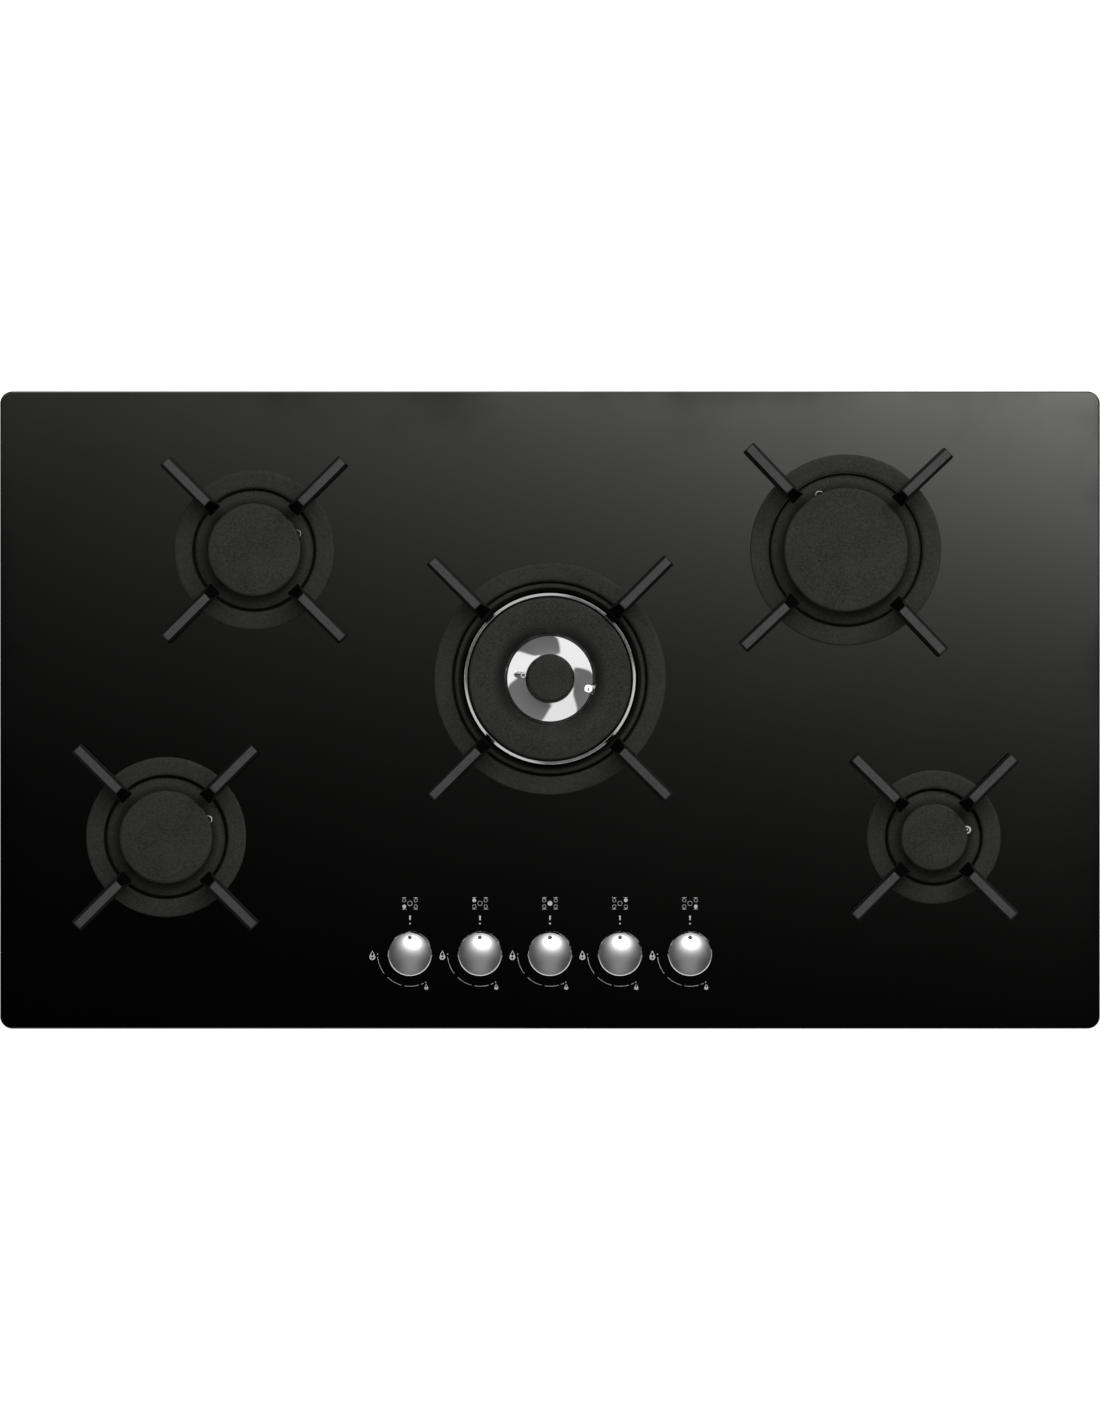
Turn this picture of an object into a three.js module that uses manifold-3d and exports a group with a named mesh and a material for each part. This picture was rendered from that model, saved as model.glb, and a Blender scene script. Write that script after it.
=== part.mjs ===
// Gas cooktop: five burners on a black glass top, with its taps, pipes and tray.
// Millimetres, +Z up. The origin is on the underside of the tray, below the middle of the glass.
// The cook stands at the front, at -Y. Left and right are the cook's.

import * as THREE from 'three';
import { mergeVertices } from 'three/addons/utils/BufferGeometryUtils.js';
import Module from 'manifold-3d';

const wasm = await Module();
wasm.setup();

// Clearances
const TOUCH = 0.3; // between pieces that rest on each other
const RUNNING = 0.35; // around a piece that turns or slides in another
const BESIDE = 0.5; // between lift-off pieces that stand side by side
const THROUGH = 1.5; // around a piece that passes through a hole

// Glass
const GLASS_LENGTH = 880;
const GLASS_DEPTH = 510;
const GLASS_THICKNESS = 6;
const GLASS_CORNER = 10;
const GLASS_BEVEL = 1;

// Tray and the foam seal between the glass rim and the worktop
const SIDE_RIM = 30; // glass edge to the side wall of the tray
const FRONT_RIM = 24; // glass edge to the front and rear walls of the tray
const TRAY_HEIGHT = 52;
const TRAY_CORNER = 12;
const TRAY_SHEET = 1;
const TRAY_LIP = 5;
const VENT_LENGTH = 46;
const VENT_WIDTH = 3.5;
const VENT_PITCH = 12;
const VENT_COUNT = 5;
const SEAL_INSET = 3;
const SEAL_WIDTH = 12;
const SEAL_THICKNESS = 3;

// Where the burners and the knobs stand
const REAR_BURNER_SIDE = 203.5; // glass side edge to the centre of a rear burner
const REAR_BURNER_BACK = 127; // glass rear edge to the centre of a rear burner
const FRONT_BURNER_SIDE = 133;
const FRONT_BURNER_FRONT = 153.4;
const WOK_BACK = 230; // glass rear edge to the centre of the wok burner
const KNOB_FRONT = 60;
const KNOB_PITCH = 56;

// Burners with one ring of flames
const MEDIUM_CAP_RADIUS = 37;
const LARGE_CAP_RADIUS = 49.4;
const SMALL_CAP_RADIUS = 26.5;
const CAP_THICKNESS = 5;
const CAP_ROUNDING = 1.8;
const CAP_LOCATOR = 2; // how far a cap reaches into its spreader
const SPREADER_INSET = 4; // cap edge to the port wall below it
const SPREADER_HEIGHT = 10;
const SPREADER_FLOOR = 2.5;
const SPREADER_SKIRT = 6; // how far a spreader reaches into its body
const PORT_WALL = 4.5;
const PORT_WIDTH = 2;
const PORT_DEPTH = 4.5;
const PORT_PITCH = 24;
const FLANGE_WIDTH = 10.5; // cap edge to the edge of the burner body
const FLANGE_EDGE = 2.4; // height of the flange at its edge
const FLANGE_ROUNDING = 1.4;
const SEAT_HEIGHT = 6.5; // glass to the seat of the spreader
const SEAT_INSET = 3;
const BODY_DEPTH = 38; // glass top to the bottom of a burner body
const BODY_BORE = 12;
const NECK_INSET = 5; // cap edge to the neck of the burner body
const BEARING = 3.4; // how far a flange rests on the glass
const GAS_BOSS_RADIUS = 6;
const GAS_BOSS_LENGTH = 8;
const GAS_BOSS_RISE = 7; // bottom of the burner body to the middle of its gas boss

// Wok burner
const WOK_INNER_CAP_RADIUS = 18;
const WOK_INNER_CAP_THICKNESS = 4.6;
const WOK_BOWL_RADIUS = 34.6;
const WOK_BOWL_DEPTH = 5.3;
const WOK_BOWL_WALL = 2.2;
const WOK_BOWL_STEPS = 4;
const WOK_LIP_WIDTH = 1.7; // polished lip of the outer crown, round the bowl
const WOK_LEDGE_WIDTH = 3; // ledge below the lip, which carries the bowl
const WOK_LEDGE_THICKNESS = 2;
const WOK_CAP_RADIUS = 64.8;
const WOK_CAP_THICKNESS = 5;
const WOK_RIM_GAP = 1.2; // cap edge to the polished rim of the outer crown
const WOK_RIM_WIDTH = 2.8;
const WOK_RIM_THICKNESS = 4;
const WOK_RIM_RISE = 1.2; // foot of the ports to the inner edge of the rim
const WOK_RIM_DROP = 1.2; // foot of the ports to the outer edge of the rim
const WOK_MOAT = 4.2; // polished rim to the flange of the body
const WOK_FLANGE_WIDTH = 3.3;
const WOK_FLANGE_HEIGHT = 4.5;
const WOK_CROWN_HEIGHT = 8; // glass to the foot of the outer ports
const WOK_PORT_HEIGHT = 10;
const WOK_INNER_PORT_TOP = 14; // glass to the top of the inner ports
const WOK_FLOOR_DEPTH = 14; // glass to the underside of the cup
const WOK_FLOOR = 3;
const WOK_CUP_TAPER = 3; // how much narrower the cup is below its mouth
const WOK_CUP_WALL = 2;
const WOK_LEG = 3.5; // wall of the leg that the outer crown stands on
const WOK_TUBE_RADIUS = 13;
const WOK_TUBE_BORE = 9;
const WOK_TUBE_RISE = 7; // height of the mixing tube above the cup floor
const WOK_BODY_DEPTH = 30;
const WOK_THROAT = 7;

// Igniters and thermocouple
const CERAMIC_RADIUS = 3.1;
const IGNITER_SHOULDER = 0.8; // how much wider the shoulder below the flange is
const IGNITER_SHOULDER_HEIGHT = 4;
const IGNITER_TAIL = 20;
const IGNITER_TAIL_RADIUS = 2.6;
const IGNITER_TOP = 12; // glass to the top of the ceramic
const IGNITER_PIN = 3;
const IGNITER_PIN_RADIUS = 0.9;
const THERMOCOUPLE_RADIUS = 2.4;
const THERMOCOUPLE_TOP = 13;
const THERMOCOUPLE_TAIL = 22;

// Pan supports
const RING_GAP = 2; // flange to the ring
const RING_WIDTH = 14.5;
const RING_HEIGHT = 7;
const RING_ROUNDING = 1.2;
const PAN_HEIGHT = 40; // glass to the pan
const FINGER_COUNT = 4;
const FINGER_TOP_WIDTH = 6;
const FINGER_FOOT_WIDTH = 11;
const FINGER_REACH = 36.8; // ring edge to the end of a finger
const WOK_FINGER_REACH = 41.5;
const FINGER_END = 10; // height of the square outer end
const FINGER_KNEE = 5; // how far the leg of a finger leans out past its ring
const FINGER_ARM = 20; // height of the arm at the knee
const FINGER_BEVEL = 1.5;
const NOSE_REACH = 6; // how far a finger reaches in past its ring
const NOSE_LENGTH = 9.5;
const NOSE_DROP = 12;
const NOSE_HEIGHT = 4;

// Knobs, spindles and taps
const KNOB_RADIUS = 18;
const KNOB_HEIGHT = 19;
const KNOB_RIM = 3; // height of the straight rim
const KNOB_TAPER = 1.6;
const KNOB_EDGE = 1.5; // bevel round the domed face
const KNOB_SAG = 3.2; // height of the dome
const KNOB_DOME_STEPS = 3;
const KNOB_BORE_DEPTH = 12;
const KNOB_TRAVEL = 4; // how far a knob is pushed in before it turns
const KNOB_DOT_RADIUS = 1.5;
const KNOB_DOT_OFFSET = 13.3;
const KNOB_DOT_DEPTH = 1;
const SPINDLE_RADIUS = 4;
const SPINDLE_FLAT = 3; // axis to the flat
const COLLAR_RADIUS = 6.4;
const COLLAR_THICKNESS = 1.5;
const TAP_HEIGHT = 22;
const TAP_BELOW_GLASS = 14;
const TAP_WALL = 3.5;
const TAP_FLOOR = 3;
const TAP_BOSS_RADIUS = 6;
const TAP_BOSS_REACH = 15; // spindle axis to the face of a boss
const TAP_PORT_HEIGHT = 10;
const TAP_PORT_RADIUS = 2.6;
const PLUG_TOP_RADIUS = 7.5;
const PLUG_BOTTOM_RADIUS = 6;
const PLUG_FLOOR = 4;
const PLUG_PORT_RADIUS = 2;

// Gas rail, inlet and pipes
const PIPE_RADIUS = 4;
const RAIL_HEIGHT = 14;
const RAIL_WIDTH = 12;
const RAIL_END = 20; // last tap to the end of the rail
const RAIL_PAD = 3;
const FEED_RADIUS = 6;
const FEED_BEND = 34;
const FEED_INSET = 20; // tray wall to the middle of the feed pipe
const INLET_BACK = 34; // tray rear wall to the middle of the inlet
const INLET_RADIUS = 10.5;
const INLET_BORE = 6;
const INLET_RISE = 1; // underside of the tray to the end of the inlet
const INLET_OPENING = 16;
const THREAD_PITCH = 3.6;
const THREAD_DEPTH = 1.1;
const THREAD_TURNS = 4;

// Ignition module and its mains inlet
const MODULE_LENGTH = 70;
const MODULE_DEPTH = 42;
const MODULE_HEIGHT = 26;
const MODULE_CORNER = 4;
const MODULE_SIDE = 62; // tray side wall to the middle of the module
const TERMINAL_COUNT = 6;
const TERMINAL_RADIUS = 2.6;
const TERMINAL_HEIGHT = 5;
const GLAND_RADIUS = 7;
const GLAND_PROUD = 2;

// Fixing brackets
const WORKTOP_THICKNESS = 38;
const BRACKET_SHEET = 1.5;
const BRACKET_WIDTH = 60;
const BRACKET_FOOT = 18;
const BRACKET_LEG = 30;
const BRACKET_HOLE = 2.5;

// Sides of round pieces
const WIDE_ROUND = 28;
const ROUND = 24;
const TURNING_ROUND = 16; // pieces that turn in each other
const SMALL_ROUND = 10;
const TINY_ROUND = 6;
const CORNER_SIDES = 4;
const PIPE_STEPS = 9;
const FEED_STEPS = 18;

// Levels and places that follow from the sizes above
const GLASS_UNDER = TRAY_HEIGHT + TOUCH;
const GLASS_TOP = GLASS_UNDER + GLASS_THICKNESS;
const SEAL_UNDER = GLASS_UNDER - TOUCH - SEAL_THICKNESS;
const TRAY_LENGTH = GLASS_LENGTH - 2 * SIDE_RIM;
const TRAY_DEPTH = GLASS_DEPTH - 2 * FRONT_RIM;
const TAP_BASE = GLASS_UNDER - TAP_BELOW_GLASS - TAP_HEIGHT;
const TAP_PORT = TAP_BASE + TAP_PORT_HEIGHT;
const TAP_Y = KNOB_FRONT - GLASS_DEPTH / 2;
const PLUG_BASE = TAP_BASE + TAP_FLOOR + TOUCH;
const PLUG_HEIGHT = TAP_HEIGHT - TAP_FLOOR - 2 * TOUCH;
const SPINDLE_BASE = PLUG_BASE + PLUG_FLOOR + KNOB_TRAVEL + TOUCH;
const KNOB_BASE = GLASS_TOP + KNOB_TRAVEL + TOUCH;
const SPINDLE_TOP = KNOB_BASE + KNOB_BORE_DEPTH - TOUCH;
const COLLAR_BASE = TAP_BASE + TAP_HEIGHT + KNOB_TRAVEL + BESIDE;
const SPREADER_BASE = SEAT_HEIGHT + TOUCH;
const CAP_BASE = SPREADER_BASE + SPREADER_HEIGHT + TOUCH;
const WOK_PORT_TOP = WOK_CROWN_HEIGHT + WOK_PORT_HEIGHT;
const WOK_CAP_BASE = WOK_PORT_TOP + TOUCH;
const WOK_INNER_CAP_BASE = WOK_INNER_PORT_TOP + TOUCH;
const WOK_INNER_PORTS = WOK_INNER_CAP_RADIUS - SPREADER_INSET / 2;
const WOK_LIP_RADIUS = WOK_BOWL_RADIUS + BESIDE;
const WOK_CAP_INNER = WOK_LIP_RADIUS + WOK_LIP_WIDTH;
const WOK_RIM_INNER = WOK_CAP_RADIUS + WOK_RIM_GAP;
const WOK_RIM_RADIUS = WOK_RIM_INNER + WOK_RIM_WIDTH;
const WOK_MOUTH_RADIUS = WOK_RIM_RADIUS + WOK_MOAT;
const WOK_FLANGE_RADIUS = WOK_MOUTH_RADIUS + WOK_FLANGE_WIDTH;
const WOK_FLOOR_TOP = WOK_FLOOR - WOK_FLOOR_DEPTH;
const RAIL_Y = TAP_Y - TAP_BOSS_REACH - TOUCH - RAIL_PAD - RAIL_WIDTH / 2;
const FEED_X = TRAY_LENGTH / 2 - TRAY_SHEET - FEED_INSET;
const INLET_Y = TRAY_DEPTH / 2 - TRAY_SHEET - INLET_BACK;
const MODULE_X = MODULE_SIDE - TRAY_LENGTH / 2 + TRAY_SHEET;
const MODULE_Y = TRAY_DEPTH / 2 - TRAY_SHEET - TOUCH - MODULE_DEPTH / 2;
const MODULE_BASE = TRAY_SHEET + TOUCH;
const GLAND_Z = MODULE_BASE + MODULE_HEIGHT / 2;

const rearX = GLASS_LENGTH / 2 - REAR_BURNER_SIDE;
const rearY = GLASS_DEPTH / 2 - REAR_BURNER_BACK;
const frontX = GLASS_LENGTH / 2 - FRONT_BURNER_SIDE;
const frontY = FRONT_BURNER_FRONT - GLASS_DEPTH / 2;
const wokY = GLASS_DEPTH / 2 - WOK_BACK;

// Each burner, with the turn of its pan support and the bearing of its igniter, in degrees.
// out is how far the igniter's middle stands out past the cap edge.
const simpleBurners = [
  { name: 'left_front', x: -frontX, y: frontY, cap: MEDIUM_CAP_RADIUS, turn: 0, igniter: 22.6, out: -0.5 },
  { name: 'left_rear', x: -rearX, y: rearY, cap: MEDIUM_CAP_RADIUS, turn: 0, igniter: 21, out: -0.5 },
  { name: 'right_rear', x: rearX, y: rearY, cap: LARGE_CAP_RADIUS, turn: -1.5, igniter: 115.7, out: -0.5 },
  { name: 'right_front', x: frontX, y: frontY, cap: SMALL_CAP_RADIUS, turn: 0, igniter: 12.3, out: 0.6 },
];
for (const burner of simpleBurners) {
  burner.flange = burner.cap + FLANGE_WIDTH;
  burner.neck = burner.cap - NECK_INSET;
  burner.glassHole = burner.flange - BEARING;
  burner.reach = FINGER_REACH;
  burner.gasBoss = burner.neck + GAS_BOSS_LENGTH;
  burner.gasLevel = GAS_BOSS_RISE - BODY_DEPTH;
  burner.igniterRadius = burner.cap + burner.out;
}
const wok = {
  name: 'wok',
  x: 0,
  y: wokY,
  turn: 0,
  flange: WOK_FLANGE_RADIUS,
  glassHole: WOK_MOUTH_RADIUS,
  reach: WOK_FINGER_REACH,
  gasBoss: WOK_TUBE_RADIUS + GAS_BOSS_LENGTH,
  gasLevel: GAS_BOSS_RISE - WOK_BODY_DEPTH,
  igniter: -14.6,
  igniterRadius: 31.7,
  thermocouple: 172.6,
  thermocoupleRadius: 21.4,
};
// In the order of the knobs, from the left
const burners = [simpleBurners[0], simpleBurners[1], wok, simpleBurners[2], simpleBurners[3]];
burners.forEach((burner, place) => {
  burner.knobX = (place - (burners.length - 1) / 2) * KNOB_PITCH;
  const outlet = new THREE.Vector2(burner.knobX, TAP_Y + TAP_BOSS_REACH);
  burner.gasAngle = Math.atan2(outlet.y - burner.y, outlet.x - burner.x);
});

// Solids and surfaces

function solid(geometry) {
  const bare = geometry.clone();
  bare.deleteAttribute('normal');
  bare.deleteAttribute('uv');
  const merged = mergeVertices(bare, 1e-4);
  const corners = merged.index.array;
  const kept = [];
  for (let i = 0; i < corners.length; i += 3) {
    const [a, b, c] = [corners[i], corners[i + 1], corners[i + 2]];
    if (a !== b && b !== c && c !== a) kept.push(a, b, c);
  }
  return new wasm.Manifold(new wasm.Mesh({
    numProp: 3,
    vertProperties: merged.attributes.position.array,
    triVerts: new Uint32Array(kept),
  }));
}

function surface(body) {
  const mesh = body.getMesh();
  const geometry = new THREE.BufferGeometry();
  geometry.setAttribute('position', new THREE.BufferAttribute(mesh.vertProperties, 3));
  geometry.setIndex(new THREE.BufferAttribute(mesh.triVerts, 1));
  return geometry;
}

function joined(...geometries) {
  return surface(geometries.map(solid).reduce((whole, piece) => whole.add(piece)));
}

function cut(geometry, ...tools) {
  return surface(tools.map(solid).reduce((whole, tool) => whole.subtract(tool), solid(geometry)));
}

// What two bodies have in common
function overlap(first, second) {
  return surface(solid(first).intersect(solid(second)));
}

// A round piece about +Z, from its half section as [radius, height] points, counter-clockwise
function turned(section, sides = ROUND) {
  const points = section.map(([radius, height]) => new THREE.Vector2(radius, height));
  const endsOnAxis = points[0].x === 0 && points.at(-1).x === 0;
  if (!endsOnAxis) points.push(points[0].clone());
  return new THREE.LatheGeometry(points, sides).rotateX(Math.PI / 2);
}

function post(radius, low, high, sides = SMALL_ROUND) {
  return turned([[0, low], [radius, low], [radius, high], [0, high]], sides);
}

// A round bar along +Y, from y = near to y = far
function barAlongY(radius, near, far, sides = SMALL_ROUND) {
  return post(radius, near, far, sides).rotateX(-Math.PI / 2);
}

function roundedRectangle(length, depth, corner) {
  const [x, y] = [length / 2 - corner, depth / 2 - corner];
  const shape = new THREE.Shape();
  shape.absarc(x, y, corner, 0, Math.PI / 2);
  shape.absarc(-x, y, corner, Math.PI / 2, Math.PI);
  shape.absarc(-x, -y, corner, Math.PI, 1.5 * Math.PI);
  shape.absarc(x, -y, corner, 1.5 * Math.PI, 2 * Math.PI);
  return shape;
}

// An arc in a shape is drawn with two sides for each of its curve segments
function prism(shape, low, high, arcSides = CORNER_SIDES) {
  const options = { depth: high - low, bevelEnabled: false, curveSegments: arcSides / 2 };
  return new THREE.ExtrudeGeometry(shape, options).translate(0, 0, low);
}

function slab(length, depth, corner, low, high) {
  return prism(roundedRectangle(length, depth, corner), low, high);
}

function tube(path, radius, steps, sides = TINY_ROUND) {
  const section = new THREE.Shape().absarc(0, 0, radius, 0, 2 * Math.PI);
  const options = { extrudePath: path, steps, curveSegments: sides / 2, bevelEnabled: false };
  return new THREE.ExtrudeGeometry(section, options);
}

// The section of the spindle, round with one flat, grown by a clearance
function spindleSection(clearance) {
  const radius = SPINDLE_RADIUS + clearance;
  const flatAngle = Math.acos((SPINDLE_FLAT + clearance) / radius);
  const shape = new THREE.Shape();
  shape.absarc(0, 0, radius, Math.PI / 2 + flatAngle, 2.5 * Math.PI - flatAngle);
  return shape;
}

function polar(radius, degrees) {
  const angle = THREE.MathUtils.degToRad(degrees);
  return [radius * Math.cos(angle), radius * Math.sin(angle)];
}

// Evenly spaced slots across a wall that stands between two radii
function portSlots(inner, outer, top) {
  const count = Math.round(2 * Math.PI * outer / PORT_PITCH);
  const middle = (inner + outer) / 2;
  const length = outer - inner + 2 * BESIDE;
  return Array.from({ length: count }, (_, index) => {
    const slot = new THREE.BoxGeometry(length, PORT_WIDTH, PORT_DEPTH + BESIDE);
    slot.translate(middle, 0, top - (PORT_DEPTH - BESIDE) / 2);
    return slot.rotateZ(2 * Math.PI * (index + 0.5) / count);
  });
}

// Finishes: colour, roughness, metalness
const finishes = {
  blackGlass: [0x08080a, 0.06, 0],
  foam: [0x2b2b2d, 0.95, 0],
  galvanised: [0x9b9ea1, 0.45, 0.9],
  castIron: [0x2f2f30, 0.7, 0.1],
  enamel: [0x333334, 0.45, 0],
  darkAluminium: [0x3c3c3d, 0.55, 0.6],
  aluminium: [0x9fa1a3, 0.4, 0.9],
  chrome: [0xd4d5d6, 0.08, 1],
  satinMetal: [0xb8b9ba, 0.32, 1],
  ceramic: [0xe9e7e1, 0.35, 0],
  steel: [0x8d9093, 0.35, 1],
  brass: [0xb59a57, 0.35, 1],
  plastic: [0x1c1c1e, 0.5, 0],
};

const cooktop = new THREE.Group();

function add(name, geometry, finish, x = 0, y = 0, z = 0) {
  const [color, roughness, metalness] = finishes[finish];
  const mesh = new THREE.Mesh(geometry, new THREE.MeshStandardMaterial({ color, roughness, metalness }));
  mesh.name = name;
  mesh.position.set(x, y, z);
  cooktop.add(mesh);
  return mesh;
}

// Glass, seal and tray

function glassTop() {
  const inner = roundedRectangle(
    GLASS_LENGTH - 2 * GLASS_BEVEL, GLASS_DEPTH - 2 * GLASS_BEVEL, GLASS_CORNER - GLASS_BEVEL);
  const plate = new THREE.ExtrudeGeometry(inner, {
    depth: GLASS_THICKNESS - 2 * GLASS_BEVEL,
    bevelThickness: GLASS_BEVEL,
    bevelSize: GLASS_BEVEL,
    bevelSegments: 1,
    curveSegments: CORNER_SIDES / 2,
  }).translate(0, 0, GLASS_BEVEL);
  const [below, above] = [-BESIDE, GLASS_THICKNESS + BESIDE];
  const burnerHoles = burners.map((burner) =>
    post(burner.glassHole, below, above, ROUND).translate(burner.x, burner.y, 0));
  const spindleHoles = burners.map((burner) =>
    post(SPINDLE_RADIUS + THROUGH, below, above).translate(burner.knobX, TAP_Y, 0));
  return cut(plate, ...burnerHoles, ...spindleHoles);
}

function worktopSeal() {
  const [length, depth] = [GLASS_LENGTH - 2 * SEAL_INSET, GLASS_DEPTH - 2 * SEAL_INSET];
  const [innerLength, innerDepth] = [length - 2 * SEAL_WIDTH, depth - 2 * SEAL_WIDTH];
  const strip = roundedRectangle(length, depth, GLASS_CORNER);
  strip.holes.push(roundedRectangle(innerLength, innerDepth, GLASS_CORNER));
  return prism(strip, 0, SEAL_THICKNESS);
}

function bottomTray() {
  const lip = slab(
    TRAY_LENGTH + 2 * TRAY_LIP, TRAY_DEPTH + 2 * TRAY_LIP, TRAY_CORNER + TRAY_LIP,
    TRAY_HEIGHT - TRAY_SHEET, TRAY_HEIGHT);
  const shell = slab(TRAY_LENGTH, TRAY_DEPTH, TRAY_CORNER, 0, TRAY_HEIGHT - TRAY_SHEET / 2);
  const hollow = slab(
    TRAY_LENGTH - 2 * TRAY_SHEET, TRAY_DEPTH - 2 * TRAY_SHEET, TRAY_CORNER - TRAY_SHEET,
    TRAY_SHEET, TRAY_HEIGHT + BESIDE);
  const inletOpening = post(INLET_OPENING, -BESIDE, TRAY_SHEET + BESIDE).translate(FEED_X, INLET_Y, 0);
  const glandOpening = barAlongY(GLAND_RADIUS + BESIDE, TRAY_DEPTH / 2 - TRAY_CORNER, TRAY_DEPTH / 2 + BESIDE)
    .translate(MODULE_X, 0, GLAND_Z);
  const vents = [-1, 1].flatMap((side) => Array.from({ length: VENT_COUNT }, (_, row) =>
    new THREE.BoxGeometry(VENT_LENGTH, VENT_WIDTH, 2 * TRAY_SHEET + BESIDE)
      .translate(side * KNOB_PITCH, TAP_Y + (row + 1) * VENT_PITCH, 0)));
  return cut(joined(lip, shell), hollow, inletOpening, glandOpening, ...vents);
}

// Pieces of the burners with one ring of flames. Heights are above the glass.

function burnerCap(burner) {
  const locator = burner.cap - SPREADER_INSET - PORT_WALL - BESIDE;
  return turned([
    [0, -CAP_LOCATOR],
    [locator, -CAP_LOCATOR],
    [locator, 0],
    [burner.cap, 0],
    [burner.cap, CAP_THICKNESS - CAP_ROUNDING],
    [burner.cap - CAP_ROUNDING, CAP_THICKNESS],
    [0, CAP_THICKNESS],
  ]);
}

function flameSpreader(burner) {
  const outer = burner.cap - SPREADER_INSET;
  const inner = outer - PORT_WALL;
  const skirt = BODY_BORE - BESIDE;
  const throat = skirt - SPREADER_FLOOR;
  const crown = turned([
    [throat, -SPREADER_SKIRT],
    [skirt, -SPREADER_SKIRT],
    [skirt, 0],
    [outer, 0],
    [outer, SPREADER_HEIGHT],
    [inner, SPREADER_HEIGHT],
    [inner, SPREADER_FLOOR],
    [throat, SPREADER_FLOOR],
  ]);
  return cut(crown, ...portSlots(inner, outer, SPREADER_HEIGHT));
}

function burnerBody(burner) {
  const cup = turned([
    [BODY_BORE, -BODY_DEPTH],
    [burner.neck, -BODY_DEPTH],
    [burner.neck, TOUCH],
    [burner.flange, TOUCH],
    [burner.flange, FLANGE_EDGE],
    [burner.flange - FLANGE_ROUNDING, FLANGE_EDGE + FLANGE_ROUNDING],
    [burner.cap - SEAT_INSET, SEAT_HEIGHT],
    [BODY_BORE, SEAT_HEIGHT],
  ]);
  const boss = gasBoss(burner, burner.neck);
  return cut(joined(cup, boss), igniterHole(burner, -BESIDE, SEAT_HEIGHT));
}

// The boss that the gas pipe meets, square to the line from the burner to its tap
function gasBoss(burner, from) {
  return barAlongY(GAS_BOSS_RADIUS, from - BESIDE - GAS_BOSS_RADIUS / 2, burner.gasBoss)
    .rotateZ(burner.gasAngle - Math.PI / 2)
    .translate(0, 0, burner.gasLevel);
}

// Pieces of the wok burner. Heights are above the glass.

function wokBody() {
  const wallOutside = WOK_MOUTH_RADIUS - 2 * BESIDE;
  const cupRadius = WOK_MOUTH_RADIUS - WOK_CUP_TAPER;
  const cup = turned([
    [WOK_TUBE_BORE, -WOK_BODY_DEPTH],
    [WOK_TUBE_RADIUS, -WOK_BODY_DEPTH],
    [WOK_TUBE_RADIUS, -WOK_FLOOR_DEPTH],
    [wallOutside, -WOK_FLOOR_DEPTH],
    [wallOutside, TOUCH],
    [WOK_FLANGE_RADIUS, TOUCH],
    [WOK_FLANGE_RADIUS, WOK_FLANGE_HEIGHT - FLANGE_ROUNDING],
    [WOK_FLANGE_RADIUS - FLANGE_ROUNDING, WOK_FLANGE_HEIGHT],
    [WOK_MOUTH_RADIUS, WOK_FLANGE_HEIGHT],
    [cupRadius, -WOK_CUP_WALL],
    [cupRadius, WOK_FLOOR_TOP],
    [WOK_TUBE_RADIUS, WOK_FLOOR_TOP],
    [WOK_TUBE_RADIUS, WOK_FLOOR_TOP + WOK_TUBE_RISE],
    [WOK_TUBE_BORE, WOK_FLOOR_TOP + WOK_TUBE_RISE],
  ], WIDE_ROUND);
  const [holeLow, holeHigh] = [-WOK_FLOOR_DEPTH - BESIDE, WOK_FLOOR_TOP + BESIDE];
  return cut(
    joined(cup, gasBoss(wok, WOK_TUBE_RADIUS)),
    igniterHole(wok, holeLow, holeHigh),
    thermocoupleHole(holeLow, holeHigh));
}

// The polished bowl is level below the inner cap and curves up to the inner edge of the outer cap
function bowlLevel(radius) {
  const out = Math.max(0, radius - WOK_INNER_CAP_RADIUS);
  return WOK_CROWN_HEIGHT - WOK_BOWL_DEPTH * (1 - (out / (WOK_CAP_INNER - WOK_INNER_CAP_RADIUS)) ** 2);
}

function igniterHole(burner, low, high) {
  return post(CERAMIC_RADIUS + BESIDE, low, high)
    .translate(...polar(burner.igniterRadius, burner.igniter), 0);
}

function thermocoupleHole(low, high) {
  return post(THERMOCOUPLE_RADIUS + BESIDE, low, high)
    .translate(...polar(wok.thermocoupleRadius, wok.thermocouple), 0);
}

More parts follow.
